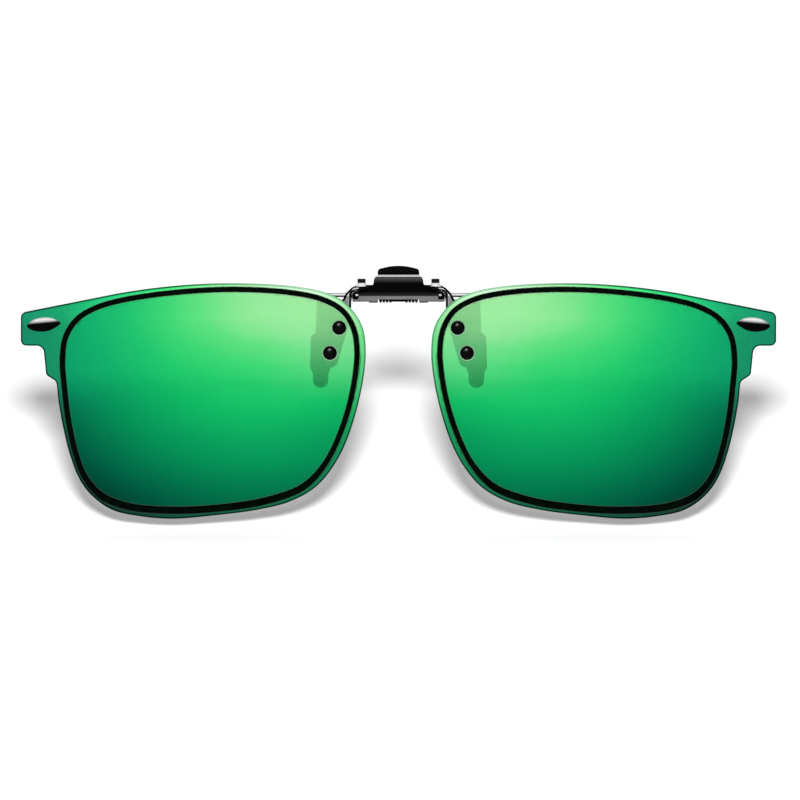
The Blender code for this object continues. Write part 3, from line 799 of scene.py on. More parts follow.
def rim_coat(name, lift, highlight_share, metallic, lit_share=1.0, gloss=0.2, even=0.01):
    """The same gradient on the rim's narrow faces, with painted highlight and shade: paler up the
    nose side and at its top, a brighter crest, dimmer at the nose and the outer end, and on the
    edge darker away from the upper nose side.
    """
    look = Look(name)
    colour = strengthened(look, coat_colour(look, lift))
    across = look.across()
    height = look.height()
    nose = look.eased(across, 9.0, 45.0, 1.0, 0.0)
    # Painted shade: darker everywhere but the upper nose side
    if lit_share < 1.0:
        crest = look.eased(height, -14.0, -3.0, 0.0, 0.95)
        edge_shade = look.times(1 - lit_share, look.minus(1.0, look.times(crest, nose)))
        colour = look.mixed(edge_shade, colour, RIM_SHADE_COLOUR)
    # Painted highlight: paler up the nose side, most at its top, and by an even share everywhere
    side = look.eased(height, -24.0, -9.0, 0.0, highlight_share * 0.6)
    corner = look.eased(across, 8.0, 18.0, 0.15, 1.0)
    top = look.times(look.eased(height, -6.0, -1.0, 0.0, highlight_share * 2.8), corner)
    share = look.plus(look.times(nose, look.plus(side, top)), even)
    colour = look.mixed(share, colour, RIM_HIGHLIGHT_COLOUR)
    # Painted highlight along the top crest; painted shade on the nose side and at the outer end
    crest = look.eased(height, -5.5, -2.0, 0.0, RIM_CREST_GAIN - 1.0)
    crest = look.times(crest, corner)
    gain = look.plus(crest, look.fitted(across, 8.0, 16.0, RIM_NOSE_GAIN, 1.0))
    gain = look.times(gain, look.eased(across, 56.0, 66.0, 1.0, RIM_END_GAIN))
    colour = look.scaled(colour, gain)
    rough = look.fitted(look.noise(0.8, 4.0), 0.35, 0.75, 0.06, 0.16)
    ripple = look.bump(look.noise(1.5, 2.0), 0.2, 0.004)
    return look.done(colour, rough, ripple, Metallic=metallic, gloss=gloss)


def grey_shadow(look, shader, share):
    """Lets a share of the lamps' light through as neutral grey, so no shadow is green."""
    lamp = look.out("LightPath", output="Is Shadow Ray")
    return look.either(lamp, shader, look.clear(grey(share)))


def lens_back_look():
    """The back face: a grey-green tint under a hard gloss."""
    look = Look("LensBack")
    haze = look.noise(0.3, 4.0)
    colour = look.mixed(haze, (0.012, 0.022, 0.017), (0.022, 0.036, 0.028))
    gloss = look.shader(colour, look.spread(haze, 0.04, 0.1), Coat_Weight=0.5)
    glass = look.either(0.2, look.clear((0.93, 0.95, 0.94)), gloss)
    return look.finish(grey_shadow(look, glass, BACK_SHADOW))


def metal_look(name, dark, light, rough, grain, stretch, depth, metallic):
    """Bare metal with fine drawn lines and patchy polish."""
    look = Look(name)
    lines = look.noise(grain, 5.0, 0.6, stretch)
    both = look.plus(look.times(lines, 0.6), look.times(look.noise(0.5, 3.0), 0.4))
    colour = look.mixed(look.spread(both), dark, light)
    rough = look.spread(both, *reversed(rough))
    return look.done(colour, rough, look.bump(lines, 0.35, depth), Metallic=metallic)


def moulded_look(name, dark, light, rough, grain, depth, gloss):
    """Paint, rubber or plastic: fine grain, slight mottling and uneven gloss."""
    look = Look(name)
    fine = look.noise(grain, 4.0, 0.65)
    broad = look.noise(0.7, 3.0)
    colour = look.mixed(look.spread(broad), dark, light)
    rough = look.spread(look.times(fine, look.plus(broad, 0.5)), *rough)
    normal = look.bump(fine, 0.5, depth)
    return look.done(colour, rough, normal, Metallic=0.0, gloss=gloss)


def housing_look():
    """Gloss black paint on sheet steel, with painted light: a sheen at the thumb plate's top, a
    grey reflection of the floor along the curl, shade at its ends and a white glint.
    """
    look = Look("HousingPaint")
    height = look.height()
    across = look.across()
    mottle = look.noise(1.6, 4.0)
    curl = look.eased(look.plus(height, look.times(mottle, 0.05)), 1.18, 1.08)
    # Painted sheen: the paint turns grey towards the thumb plate's top
    upper = look.eased(height, 3.5, 4.8)
    paint = look.mixed(upper, (0.0006, 0.0006, 0.0007), (0.085, 0.085, 0.087))
    # Painted reflection: a grey fade above the curl, but not at the ends
    low_reflection = look.eased(height, 2.0, 1.15)
    end = look.eased(across, 7.55, 7.7)
    low_reflection = look.times(low_reflection, look.minus(1.0, end))
    paint = look.mixed(low_reflection, paint, (0.024, 0.024, 0.025))
    # The grey along the curl is a painted reflection of the floor, not bare steel, with painted
    # shade at its very bottom
    reflection_streaks = look.noise(1.2, 4.0, 0.6, (0.2, 1, 1))
    steel = look.mixed(reflection_streaks, (0.22, 0.22, 0.222), (0.26, 0.26, 0.262))
    steel = look.mixed(look.eased(height, 0.26, 0.12, 0.0, 0.55), steel, grey(0.07))
    # Painted shade: the curl stays black at both ends above this height
    shade = look.times(end, look.eased(height, 0.42, 0.52))
    colour = look.mixed(look.times(curl, look.minus(1.0, shade)), paint, steel)
    # Painted glint: a small white spot on the front of each end
    along = look.minus(across, GLINT_U)
    over = look.times(look.minus(height, GLINT_Z), 1.4)
    reach = look.plus(look.times(along, along), look.times(over, over))
    glint = look.eased(reach, 0.10, 0.05)
    front = look.fitted(look.axis(1), PIN_Y, PIN_Y - 1.0)
    colour = look.mixed(look.times(glint, front), colour, grey(1.0))
    rough = look.spread(mottle, 0.24, 0.36)
    normal = look.bump(look.noise(5.0, 3.0), 0.2, 0.004)
    return look.done(colour, rough, normal, Metallic=0.0, gloss=0.03)


def arm_look():
    """Satin steel with painted highlights, white round the bend and lighter by the inner edge;
    black on the stop finger, and black on the front face behind the lens as painted shade.
    """
    look = Look("ArmSteel")
    across = look.across()
    height = look.height()
    lines = look.noise(5.0, 5.0, 0.6, (1, 1, 0.12))
    steel_and_highlights = look.mixed(look.spread(lines), (0.23, 0.23, 0.235), (0.29, 0.29, 0.295))
    # Painted highlight: a lighter strip along the inner edge
    steel_and_highlights = look.mixed(look.eased(across, 9.75, 9.6), steel_and_highlights, (0.40, 0.40, 0.405))
    # Painted highlight: white along the bend above this slanting line
    slant = look.plus(height, look.times(across, 0.75))
    bend = look.eased(slant, 8.42, 8.50)
    steel_and_highlights = look.mixed(bend, steel_and_highlights, grey(1.0))
    low = look.eased(slant, 8.34, 8.42, 1.0, 0.0)
    inner = look.eased(across, 9.05, 9.3, 1.0, 0.0)
    # Painted shade: the front face behind the lens turns black
    hidden = look.eased(height, -2.6, -3.2)
    front = look.fitted(look.axis(1), ARM_FRONT + 0.2, ARM_FRONT + 0.1)
    black = look.math("MAXIMUM", look.times(low, inner), look.times(hidden, front))
    colour = look.mixed(black, steel_and_highlights, grey(0.004))
    rough = look.spread(lines, 0.32, 0.2)
    metal = look.minus(1.0, look.math("MAXIMUM", black, look.times(bend, 0.8)))
    normal = look.bump(lines, 0.3, 0.003)
    return look.done(colour, rough, normal, Metallic=metal, gloss=0.05)


def strap_look():
    """Steel straps: a bar with a painted highlight along it and painted shade under it, as on a
    round polished wire, satin legs below it.
    """
    look = Look("StrapSteel")
    height = look.height()
    lines = look.noise(6.0, 5.0, 0.6, (1, 1, 0.15))
    satin = look.mixed(look.spread(lines), *SATIN)
    # Painted highlight along the bar between these heights
    bright = look.eased(height, 1.18, 1.26)
    edge = look.eased(height, 1.60, 1.52)
    bar = look.mixed(look.times(bright, edge), grey(0.20), grey(0.96))
    # Painted shade: black along the bar's lower edge
    dark = look.times(look.fitted(height, 1.2, 1.12), look.fitted(height, 0.6, 0.8))
    bar = look.mixed(dark, bar, grey(0.004))
    colour = look.mixed(look.eased(height, 0.3, 0.8), satin, bar)
    rough = look.spread(lines, 0.3, 0.16)
    return look.done(colour, rough, look.bump(lines, 0.3, 0.003), Metallic=1.0)


def trim_look():
    """A polished dome, white above a slanting line as a painted highlight and black below it as
    painted shade, which meet along that line.
    """
    look = Look("TrimChrome")
    across = look.across()
    line = look.minus(look.height(), look.times(look.minus(71.4, across), 0.09))
    # Painted highlight above the line, painted shade below it
    above = look.eased(line, -4.45, -3.75)
    lines = look.noise(4.0, 4.0, 0.6, (0.3, 1, 1))
    bright = look.mixed(lines, grey(0.96), grey(1.0))
    colour = look.mixed(above, grey(0.001), bright)
    rough = look.spread(lines, 0.12, 0.22)
    metal = look.times(above, 0.5)
    normal = look.bump(lines, 0.2, 0.002)
    return look.done(colour, rough, normal, Metallic=metal, gloss=0.02)


LOOKS = {
    "coat": mirror_coat("MirrorCoat"),
    "rim_face": rim_coat("MirrorRimFace", 0.0, 0.17, 1.0),
    "rim_band": rim_coat("MirrorRimBand", -0.01, 0.18, 1.0),
    "rim_edge": rim_coat("MirrorRimEdge", -0.06, 0.18, 0.0, 0.25, 0.0, 0.0),
    "groove_edge": rim_coat("MirrorGrooveEdge", 0.02, 0.16, 0.2, 1.0, 0.0, 0.08),
    "lens_back": lens_back_look(),
    "housing": housing_look(),
    "trim": trim_look(),
    "strap": strap_look(),
    "arm": arm_look(),
}
# As (key, name, darkest, lightest, roughness, grain, stretch, bump depth, metallic)
METALS = (
    ("steel", "SatinSteel", *SATIN, (0.16, 0.3), 6.0, (1, 1, 0.15), 0.004, 1.0),
    ("bright", "BrightSteel", grey(0.97), grey(1.0), (0.04, 0.1), 5.0, (0.15, 1, 1), 0.001, 1.0),
    # Near-black steel: painted shade on the arms' edges and on the friction washers between the
    # parts
    ("dark_steel", "DarkSteel", grey(0.002), grey(0.007), (0.2, 0.4), 7.0, (1, 1, 1), 0.004, 1.0),
    # The collar's near-white, mostly matt colour is a painted highlight, standing in for glare on
    # bright steel
    ("collar", "CollarSteel", grey(0.96), grey(1.0), (0.3, 0.4), 5.0, (0.15, 1, 1), 0.002, 0.2),
)
# As (key, name, darkest, lightest, roughness, grain, bump depth, gloss)
MOULDED = (
    ("wire", "SpringWire", grey(0.001), grey(0.004), (0.3, 0.45), 9.0, 0.003, 0.03),
    ("rubber", "BlackRubber", grey(0.001), grey(0.003), (0.4, 0.6), 6.0, 0.012, 0.05),
    ("pad", "PadRubber", grey(0.012), grey(0.022), (0.45, 0.7), 4.0, 0.02, 0.0),
    ("knob", "KnobRubber", grey(0.004), grey(0.010), (0.4, 0.6), 6.0, 0.01, 0.1),
    ("screw", "BlackScrew", grey(0.0002), (0.0005, 0.0005, 0.0006), (0.2, 0.3), 5.0, 0.004, 0.03),
    ("nylon", "ClearNylon", (0.36, 0.70, 0.40), (0.46, 0.78, 0.50), (0.25, 0.4), 3.0, 0.006, 0.1),
    (
        "ring", "RingBlack", (0.0005, 0.001, 0.0008), (0.001, 0.006, 0.003), (0.2, 0.34), 2.5,
        0.006, 0.01,
    ),
)
LOOKS |= {key: metal_look(*row) for key, *row in METALS}
LOOKS |= {key: moulded_look(*row) for key, *row in MOULDED}


# Front jaw --------


def barrel_profile(inset):
    """One face of the rolled sheet round the pin, from its back edge to the curl's end."""
    outer = arc(0, 0, BARREL_R - inset, BARREL_BACK_DEG, 180, 28)
    curl = arc(CURL_R - BARREL_R, 0, CURL_R - inset, 180, 270, 18)[1:]
    return outer + curl + [(CURL_END, inset - CURL_R)]


def barrel_stations():
    """Places along the barrel, closer together where its ends round off."""
    straight = [
        BARREL_HALF - BARREL_ROUND - 0.01 - step * BARREL_STEP for step in range(7, 0, -1)
    ]
    ends = [
        BARREL_HALF - BARREL_ROUND * (1 - math.sin(math.radians(turn)))
        for turn in (0, 15, 30, 45, 60, 72, 82, 90)
    ]
    half = [0.0] + straight + ends
    return [-place for place in reversed(half[1:])] + half


def end_drop(x):
    """How much lower the barrel's top lies near its ends, as a factor."""
    reach = min(max((abs(x) - (BARREL_HALF - BARREL_ROUND)) / BARREL_ROUND, 0.0), 1.0)
    return 1 - BARREL_DROP * reach ** BARREL_POWER


def barrel_shell():
    profile = barrel_profile(0) + barrel_profile(SHEET)[::-1]
    mesh = bmesh.new()
    loops = []
    for x in barrel_stations():
        drop = end_drop(x)
        outline = [(PIN_Y + y, PIN_Z + (z * drop if z > 0 else z)) for y, z in profile]
        loops.append((outline, add_loop(mesh, outline, on_side(x))))
    for (_, first), (_, second) in zip(loops, loops[1:]):
        add_wall(mesh, first, second)
    for outline, verts in (loops[0], loops[-1]):
        add_cap(mesh, [outline], [verts])
    return mesh


def thumb_plate():
    """The front plate above the barrel, with flared and filleted foot corners."""
    shoulder = PIN_Z + BARREL_R - THUMB_SUNK
    low = PIN_Z + THUMB_FOOT
    side = (
        (4.42, THUMB_TOP, 0.25), (4.74, 4.3, 0.5), (4.86, shoulder, 0.45),
        (5.9, shoulder - 0.12, 0), (5.9, low, 0),
    )
    other = tuple((-u, z, radius) for u, z, radius in reversed(side))
    front = BARREL_FRONT + THUMB_SET_BACK
    return front_plate([rounded(side + other)], 1, front, front + THUMB_THICK, 0.14)


def end_ear(side):
    """Closes one end of the barrel round its bush."""
    profile = [(PIN_Y + y, PIN_Z + z) for y, z in barrel_profile(EAR_INSET)]
    profile = [(y, PIN_Z + (z - PIN_Z) * EAR_DROP if z > PIN_Z else z) for y, z in profile]
    back = (PIN_Y + CURL_END + EAR_BACK, PIN_Z + EAR_LIFT - CURL_R)
    outline = profile[:-1] + [back, (back[0], profile[0][1])]
    hole = circle(PIN_Y, PIN_Z, BUSH_R + SEAT, 40)
    inner = side * (BARREL_HALF - END_EAR)
    outer = side * (BARREL_HALF - EAR_SUNK)
    return side_plate([outline, hole], inner, outer, 0.03, 1)


def bush_slot(side):
    """The notch in the barrel's front that shows a bush."""
    low = (BARREL_FRONT - CUT_CLEAR, NOTCH_BOTTOM)
    high = (BARREL_FRONT + SHEET + NOTCH_CLEAR, NOTCH_TOP)
    return side_block(side, NOTCH_INNER, NOTCH_OUTER, low, high), "DIFFERENCE"


def curl_lip(side):
    """A small lip that hangs from the curl beside the spring's window."""
    y = PIN_Y + CURL_R - BARREL_R
    bottom = PIN_Z - CURL_R
    low = (y - LIP_HALF, bottom - LIP_DROP)
    high = (y + LIP_HALF, bottom + LIP_SUNK)
    return side_block(side, LIP_INNER, LIP_OUTER, low, high, 0.12), "UNION"


def add_front_housing():
    window_high = (WINDOW_HALF, PIN_Y + BARREL_R, WINDOW_TOP)
    window = block((-WINDOW_HALF, BARREL_FRONT - CUT_CLEAR, -1), window_high)
    mesh = combined(
        barrel_shell(), (thumb_plate(), "UNION"), (end_ear(1), "UNION"), (end_ear(-1), "UNION"),
        (window, "DIFFERENCE"), *(bush_slot(side) for _, side in SIDES),
        *(curl_lip(side) for _, side in SIDES),
    )
    piece("housing_shell", mesh, "housing", "front_jaw", "front_housing", 32)


def add_pin():
    end = EAR_INNER + EAR_THICK + PIN_PLAY
    half = rounded((
        (PIN_R, end - 0.5, 0), (PIN_R, end, 0), (PIN_HEAD_R, end, 0.05),
        (PIN_HEAD_R, end + PIN_HEAD * 0.8, 0.12), (0.2, end + PIN_HEAD, 0),
        (0, end + PIN_HEAD, 0),
    ), closed=False, steps=4)
    other = [(radius, -height) for radius, height in reversed(half)]
    pin = turned(other + half, (0, PIN_Y, PIN_Z), (1, 0, 0), 40)
    piece("hinge_pin_steel", pin, "steel", "front_jaw", "hinge_pin")


def add_end_rings(name, side):
    centre = (0, PIN_Y, PIN_Z)
    axis = (side, 0, 0)
    bush = sleeve(PIN_HOLE_R, BUSH_R, BUSH_INNER, BUSH_OUTER, 0.05, centre, axis)
    piece(f"bush_{name}", bush, "rubber", "front_jaw", f"hinge_bush_{name}")
    # Near-black washers: painted shade in the gap between the arm and the housing end
    washer = sleeve(PIN_HOLE_R, EAR_R, WASHER_INNER, WASHER_OUTER, 0.03, centre, axis)
    piece(
        f"hinge_washer_{name}", washer, "dark_steel", "front_jaw",
        f"friction_washer_{name}",
    )


def spring_half():
    """One coil's path from its pressing leg to the middle bar, as (x, y, z)."""
    path = [
        (COIL_OUTER, PIN_Y + COIL_R, PIN_Z + SPRING_LEG * share) for share in (1, 0.75, 0.5, 0.25)
    ]
    total = 360 * COIL_TURNS + BAR_DEG
    steps = round(total / COIL_STEP_DEG)
    for step in range(steps + 1):
        turn = math.radians(-total * step / steps)
        x = COIL_OUTER + (COIL_INNER - COIL_OUTER) * step / steps
        path.append((x, PIN_Y + COIL_R * math.cos(turn), PIN_Z + COIL_R * math.sin(turn)))
    return path


def add_spring():
    half = spring_half()
    path = half + [(-x, y, z) for x, y, z in reversed(half)]
    line = bpy.data.curves.new("spring_wire", "CURVE")
    line.dimensions = "3D"
    line.bevel_depth = WIRE_R * MM
    line.bevel_resolution = 4
    line.use_fill_caps = True
    spline = line.splines.new("POLY")
    spline.points.add(len(path) - 1)
    for point, place in zip(spline.points, path):
        point.co = (*(Vector(place) * MM), 1)
    spline.use_smooth = True
    line.materials.append(LOOKS["wire"])
    ridden(in_scene("spring_wire", line), "front_jaw", "torsion_spring")


# The legs' tips and the sleeves on them, as (u, z, corner radius)
LEG_TIPS = {
    "front": ((13.45, -13.6, 1.3), (16.3, -13.6, 1.3)),
    "rear": (
        (13.3, -9.0, 0.4), (13.95, -10.0, 0.4), (14.05, -16.2, 1.0), (16.1, -16.2, 1.0),
        (16.1, -10.0, 0.4), (15.95, -9.0, 0.4),
    ),
}
PADS = {
    "front": (
        (13.0, -6.0, 0.5), (13.15, -13.0, 0.6), (13.6, -14.15, 0.8), (16.35, -14.15, 0.8),
        (17.1, -12.6, 1.0), (16.9, -6.7, 0.8), (16.1, -6.0, 0.5),
    ),
    "rear": (
        (13.5, -10.6, 0.4), (13.55, -15.2, 1.0), (13.9, -16.65, 1.4), (16.25, -16.65, 1.4),
        (16.55, -15.2, 1.0), (16.6, -10.6, 0.4),
    ),
}
# Where the bars between the legs end near the middle
BAR_INNER = {"front": 7.0, "rear": 3.0}


def add_jaw_leg(row, way, name, side):
    """A strap leg and the rubber sleeve on its tip; way is where it lies along Y."""
    inner = BAR_INNER[row]
    core = rounded((
        (inner, BAR_BOTTOM, 0.25), (12.4, BAR_BOTTOM, 0.9), (12.95, -2.0, 0), *LEG_TIPS[row],
        (15.85, -2.0, 0), (15.65, BAR_TOP, 1.4), (inner, BAR_TOP, 0.25),
    ))
    leg = front_plate([core], side, way * LEG_NEAR, way * LEG_FAR, 0.16)
    body = f"{row}_jaw"
    piece(f"{row}_strap_{name}", leg, "strap", body, f"{row}_leg_{name}")
    pad = front_plate([rounded(PADS[row])], side, way * PAD_FACE, way * PAD_FAR, 0.4, 5)
    near, far = way * (LEG_NEAR - SEAT), way * (LEG_FAR + SEAT)
    pocket = front_plate([grown(core, SEAT)], side, near, far, 0.1, 2)
    pad = combined(pad, (pocket, "DIFFERENCE"))
    piece(f"{row}_sleeve_{name}", pad, "pad", body, f"{row}_pad_{name}")


# Rear jaw --------


def jaw_ear(side):
    disc = arc(PIN_Y, PIN_Z, JAW_EAR_R, 75, 325, 24)
    back = WEB_FRONT + JAW_EAR_OVERLAP
    top = WEB_TOP - 0.05
    joint = [(back, WEB_BOTTOM - 0.5), (back, top), (WEB_FRONT, top)]
    hole = circle(PIN_Y, PIN_Z, PIN_HOLE_R, 32)
    return side_plate([disc + joint, hole], side * JAW_EAR_INNER, side * JAW_EAR_OUTER, 0.03, 1)


def thumb_tab():
    low = WEB_BOTTOM + 0.1
    outline = rounded((
        (-TAB_HALF, low, 0), (TAB_HALF, low, 0), (TAB_HALF, TAB_TOP, 0.25),
        (-TAB_HALF, TAB_TOP, 0.25),
    ))
    return front_plate([outline], 1, TAB_FRONT, TAB_BACK, 0.1)


def add_rear_plate():
    web = block((-WEB_HALF, WEB_FRONT, WEB_BOTTOM), (WEB_HALF, FLANGE_BACK, WEB_TOP), 0.1)
    flange_low = (-WEB_HALF + 0.05, FLANGE_FRONT, FLANGE_BOTTOM)
    flange_high = (WEB_HALF - 0.05, FLANGE_BACK - 0.03, WEB_BOTTOM + 0.2)
    mesh = combined(
        web, (block(flange_low, flange_high, 0.1), "UNION"), (thumb_tab(), "UNION"),
        (jaw_ear(1), "UNION"), (jaw_ear(-1), "UNION"),
    )
    piece("jaw_plate", mesh, "bright", "rear_jaw", "rear_plate")


def grip_outline():
    """Straight foot, rounded upper corners and a domed top."""
    crown = (GRIP_HALF ** 2 + GRIP_RISE ** 2) / (2 * GRIP_RISE)
    shoulder = GRIP_TOP - GRIP_RISE
    sweep = math.degrees(math.asin(GRIP_HALF * GRIP_DOME / crown))
    top = arc(0, GRIP_TOP - crown, crown, 90 - sweep, 90 + sweep, 24)
    foot = (GRIP_HALF, GRIP_BOTTOM)
    right = fillet(foot, (GRIP_HALF, shoulder + 0.1), top[0], 0.7)
    left = [(-u, z) for u, z in reversed(right)]
    return [(-GRIP_HALF, GRIP_BOTTOM), foot, *right, *top, *left]


def add_thumb_grip():
    """The domed rubber cap on the thumb tab."""
    mesh = front_plate([grip_outline()], 1, GRIP_FRONT, GRIP_BACK, 0.3, 5)
    piece("thumb_cap", mesh, "rubber", "rear_jaw", "thumb_grip")


# Flip bridge --------


def arm_outline():
    tip = arc(13.35, -10.75, 1.95, 340, 215, 16)
    inner = [(9.65, -4.58), (EAR_INNER, -0.9)]
    finger = rounded((
        (EAR_INNER, -0.9, 0), (EAR_INNER, 1.5, 0), (8.4, FINGER_BOTTOM, 0.5),
        (6.4, FINGER_BOTTOM, 0.2), (6.3, FINGER_TOP, 0.2), (8.09, FINGER_TOP, 0), (8.13, 3.2, 0),
        (9.1, 2.7, 1.0), (10.15, 1.65, 1.0), (10.72, 0.5, 0.5), (13.0, -0.5, 0.7),
        (13.35, -4.5, 2.0), (15.1, -10.2, 0),
    ), closed=False)[1:-1]
    return tip + inner + finger


def arm_ear(side):
    disc = arc(PIN_Y, PIN_Z, EAR_R, -90, 90, 20)
    front = ARM_FRONT + ARM_EAR_SUNK
    outline = disc + [(front, PIN_Z + EAR_R * 0.6), (front, PIN_Z - EAR_R)]
    hole = circle(PIN_Y, PIN_Z, PIN_HOLE_R, 32)
    inner = side * (EAR_INNER + ARM_EAR_PLAY)
    return side_plate([outline, hole], inner, inner + side * EAR_THICK, 0.04, 1)


# An edge from its face to the wall, as (inset from the outline, depth, look)
ARM_STEPS = ((0.44, 0.0, 1), (0.42, 0.02, 1), (0.12, 0.1, 1), (0.03, 0.2, 1), (0.0, 0.28, 1))
ARM_BACK_STEPS = ((0.1, 0.0, 1), (0.03, 0.03, 1), (0.0, 0.1, 1))


def edge_walls(mesh, side, outline, steps, base, way):
    """An edge that goes away from one face; gives its loops as (outline, vertices)."""
    loops = []
    for inset, depth, _ in steps:
        loop = grown(outline, -inset)
        loops.append((loop, add_loop(mesh, loop, on_front(side, base + way * depth))))
    for (_, upper), (_, lower), (_, _, look) in zip(loops, loops[1:], steps[1:]):
        add_wall(mesh, upper, lower, look)
    return loops


def panel_edge(mesh, side, outline, steps, back_steps, depths, look):
    """The whole edge of a panel between two depths; gives the loops round its two faces."""
    front = edge_walls(mesh, side, outline, steps, depths[0], 1)
    back = edge_walls(mesh, side, outline, back_steps, depths[1], -1)
    add_wall(mesh, front[-1][1], back[-1][1], look)
    return front[0], back[0]


def drilled_faces(mesh, side, borders, depths, steps, looks):
    """Fills both faces round the screw holes; looks are of the front, back and holes."""
    holes = [circle(u, z, SHANK_HOLE_R, steps) for u, z in SCREW_PLACES]
    drilled = [
        [add_loop(mesh, hole, on_front(side, depth)) for hole in holes] for depth in depths
    ]
    for (border, verts), loops, look in zip(borders, drilled, looks):
        add_cap(mesh, [border, *holes], [verts, *loops], look)
    for front, back in zip(*drilled):
        add_wall(mesh, front, back, looks[2])


def add_arm(name, side):
    """A stamped arm: satin faces and a near-black edge, painted shade along its outline."""
    mesh = bmesh.new()
    depths = (ARM_FRONT, ARM_BACK)
    borders = panel_edge(mesh, side, arm_outline(), ARM_STEPS, ARM_BACK_STEPS, depths, 1)
    drilled_faces(mesh, side, borders, depths, 32, (0, 0, 0))
    mesh = combined(mesh, (arm_ear(side), "UNION"))
    piece(f"arm_{name}", mesh, "arm dark_steel", "flip_bridge", f"lens_arm_{name}")


def add_stop(name, side):
    """A near-white collar, a painted highlight, and the ribbed rubber knob on it."""
    centre = (side * STOP_U, STOP_Y, 0)
    low = FINGER_TOP + SEAT
    profile = rounded((
        (0, low, 0), (COLLAR_R, low, 0.25), (COLLAR_R, COLLAR_TOP, 0.06), (0, COLLAR_TOP, 0),
    ), closed=False, steps=5)
    collar = turned(profile, centre, (0, 0, 1))
    piece(
        f"collar_{name}", collar, "collar", "flip_bridge",
        f"stop_collar_{name}",
    )
    outline = []
    for step in range(KNOB_RIBS * 6):
        turn = 2 * math.pi * step / (KNOB_RIBS * 6)
        radius = BUMPER_R - KNOB_RIB + KNOB_RIB * math.cos(KNOB_RIBS * turn)
        x = centre[0] + radius * math.cos(turn)
        outline.append((x, centre[1] + radius * math.sin(turn)))
    knob = plate([outline], on_level, COLLAR_TOP + SEAT, BUMPER_TOP, 0.1)
    piece(f"knob_{name}", knob, "knob", "flip_bridge", f"stop_bumper_{name}")


def on_level(height):
    """Places an outline (x, y) at one height."""
    return lambda a, b: Vector((a, b, height))


# Material numbers of a lens
COAT, FACE, BAND, EDGE, GROOVE, BACK = range(6)
LENS_LOOKS = "coat rim_face rim_band rim_edge groove_edge lens_back"
RIM_STEPS = (
    (0.55, 0.0, FACE), (0.42, 0.006, BAND), (0.29, 0.02, BAND), (0.17, 0.045, EDGE),
    (0.10, 0.09, EDGE), (0.04, 0.17, EDGE), (0.01, 0.26, EDGE), (0.0, 0.38, EDGE),
)
BACK_STEPS = ((0.12, 0.0, EDGE), (0.035, 0.035, EDGE), (0.0, 0.12, EDGE))
GROOVE_LIP = 0.12


def add_lens(name, side):
    """The panel: a rounded rim, a groove for the ring, and the two screw holes."""
    mesh = bmesh.new()
    depths = (LENS_FRONT, LENS_BACK)
    rim, back = panel_edge(mesh, side, panel_outline(), RIM_STEPS, BACK_STEPS, depths, EDGE)
    outer = groove_side(mesh, side, 1)
    inner = groove_side(mesh, side, -1)
    add_cap(mesh, [rim[0], outer[0][0]], [rim[1], outer[0][1]], FACE)
    add_cap(mesh, [outer[-1][0], inner[-1][0]], [outer[-1][1], inner[-1][1]], GROOVE)
    drilled_faces(mesh, side, (inner[0], back), depths, 28, (COAT, BACK, EDGE))
    wrap(mesh, side)
    piece(f"panel_{name}", mesh, LENS_LOOKS, "flip_bridge", f"lens_{name}", 50)


def groove_side(mesh, side, way):
    """One wall of the ring's groove, from its rounded lip to the floor."""
    steps = (
        (GROOVE_GAP + GROOVE_LIP, 0.0), (GROOVE_GAP, GROOVE_LIP), (GROOVE_GAP, GROOVE_DEPTH),
    )
    steps = [(-way * reach, depth, GROOVE) for reach, depth in steps]
    return edge_walls(mesh, side, ring_loop(way), steps, LENS_FRONT, 1)


# The ring's section from foot to foot, as (share of its half width, depth behind the face)
RING_FOOT = GROOVE_DEPTH - GROOVE_GAP
RING_SECTION = (
    (-1.0, RING_FOOT), (-1.0, 0.03), (-0.85, -0.02), (-0.5, -RING_PROUD), (0.5, -RING_PROUD),
    (0.85, -0.02), (1.0, 0.03), (1.0, RING_FOOT),
)


def add_ring(name, side):
    """The ring: a flat foot in the groove and a low rounded crown."""
    mesh = bmesh.new()
    loops = [
        add_loop(mesh, ring_loop(reach), on_front(side, LENS_FRONT + depth))
        for reach, depth in RING_SECTION
    ]
    for index in range(len(loops)):
        add_wall(mesh, loops[index - 1], loops[index])
    wrap(mesh, side)
    piece(f"ring_{name}", mesh, "ring", "flip_bridge", f"rim_line_{name}", 50)


def add_trim(name, side):
    """An almond-shaped dome on the end piece."""
    mesh = bmesh.new()
    levels = [(0.06, SEAT, 0), (0.0, 0.08, 0), (0.0, TRIM_WALL, 0)]
    for step in range(1, 7):
        turn = math.radians(15 * step)
        height = TRIM_WALL + (TRIM_HEIGHT - TRIM_WALL) * math.sin(turn)
        levels.append((TRIM_DOME * (1 - math.cos(turn)), height, 0))
    loops = edge_walls(mesh, side, smooth_loop(TRIM_OUTLINE, 8), levels, LENS_FRONT, -1)
    for loop, verts in (loops[0], loops[-1]):
        add_cap(mesh, [loop], [verts])
    wrap(mesh, side)
    piece(
        f"trim_{name}", mesh, "trim", "flip_bridge", f"end_trim_{name}", 60,
        weighted=False,
    )


def screw_profile():
    """Dome head and shank, from the head's crown to the shank's end, as (radius, height)."""
    seat = -LENS_FRONT + FRONT_WASHER + SEAT
    dome = [(0, seat + HEAD_HEIGHT)]
    for step in range(1, 13):
        turn = math.radians(90 - 7.5 * step)
        height = HEAD_EDGE + (HEAD_HEIGHT - HEAD_EDGE) * math.sin(turn)
        dome.append((HEAD_R * math.cos(turn), seat + height))
    foot = [(HEAD_R, seat + 0.06), (HEAD_R - 0.06, seat), (SHANK_R, seat)]
    tip = [(SHANK_R, -SHANK_END + 0.1), (SHANK_R - 0.1, -SHANK_END), (0, -SHANK_END)]
    return dome + foot + tip


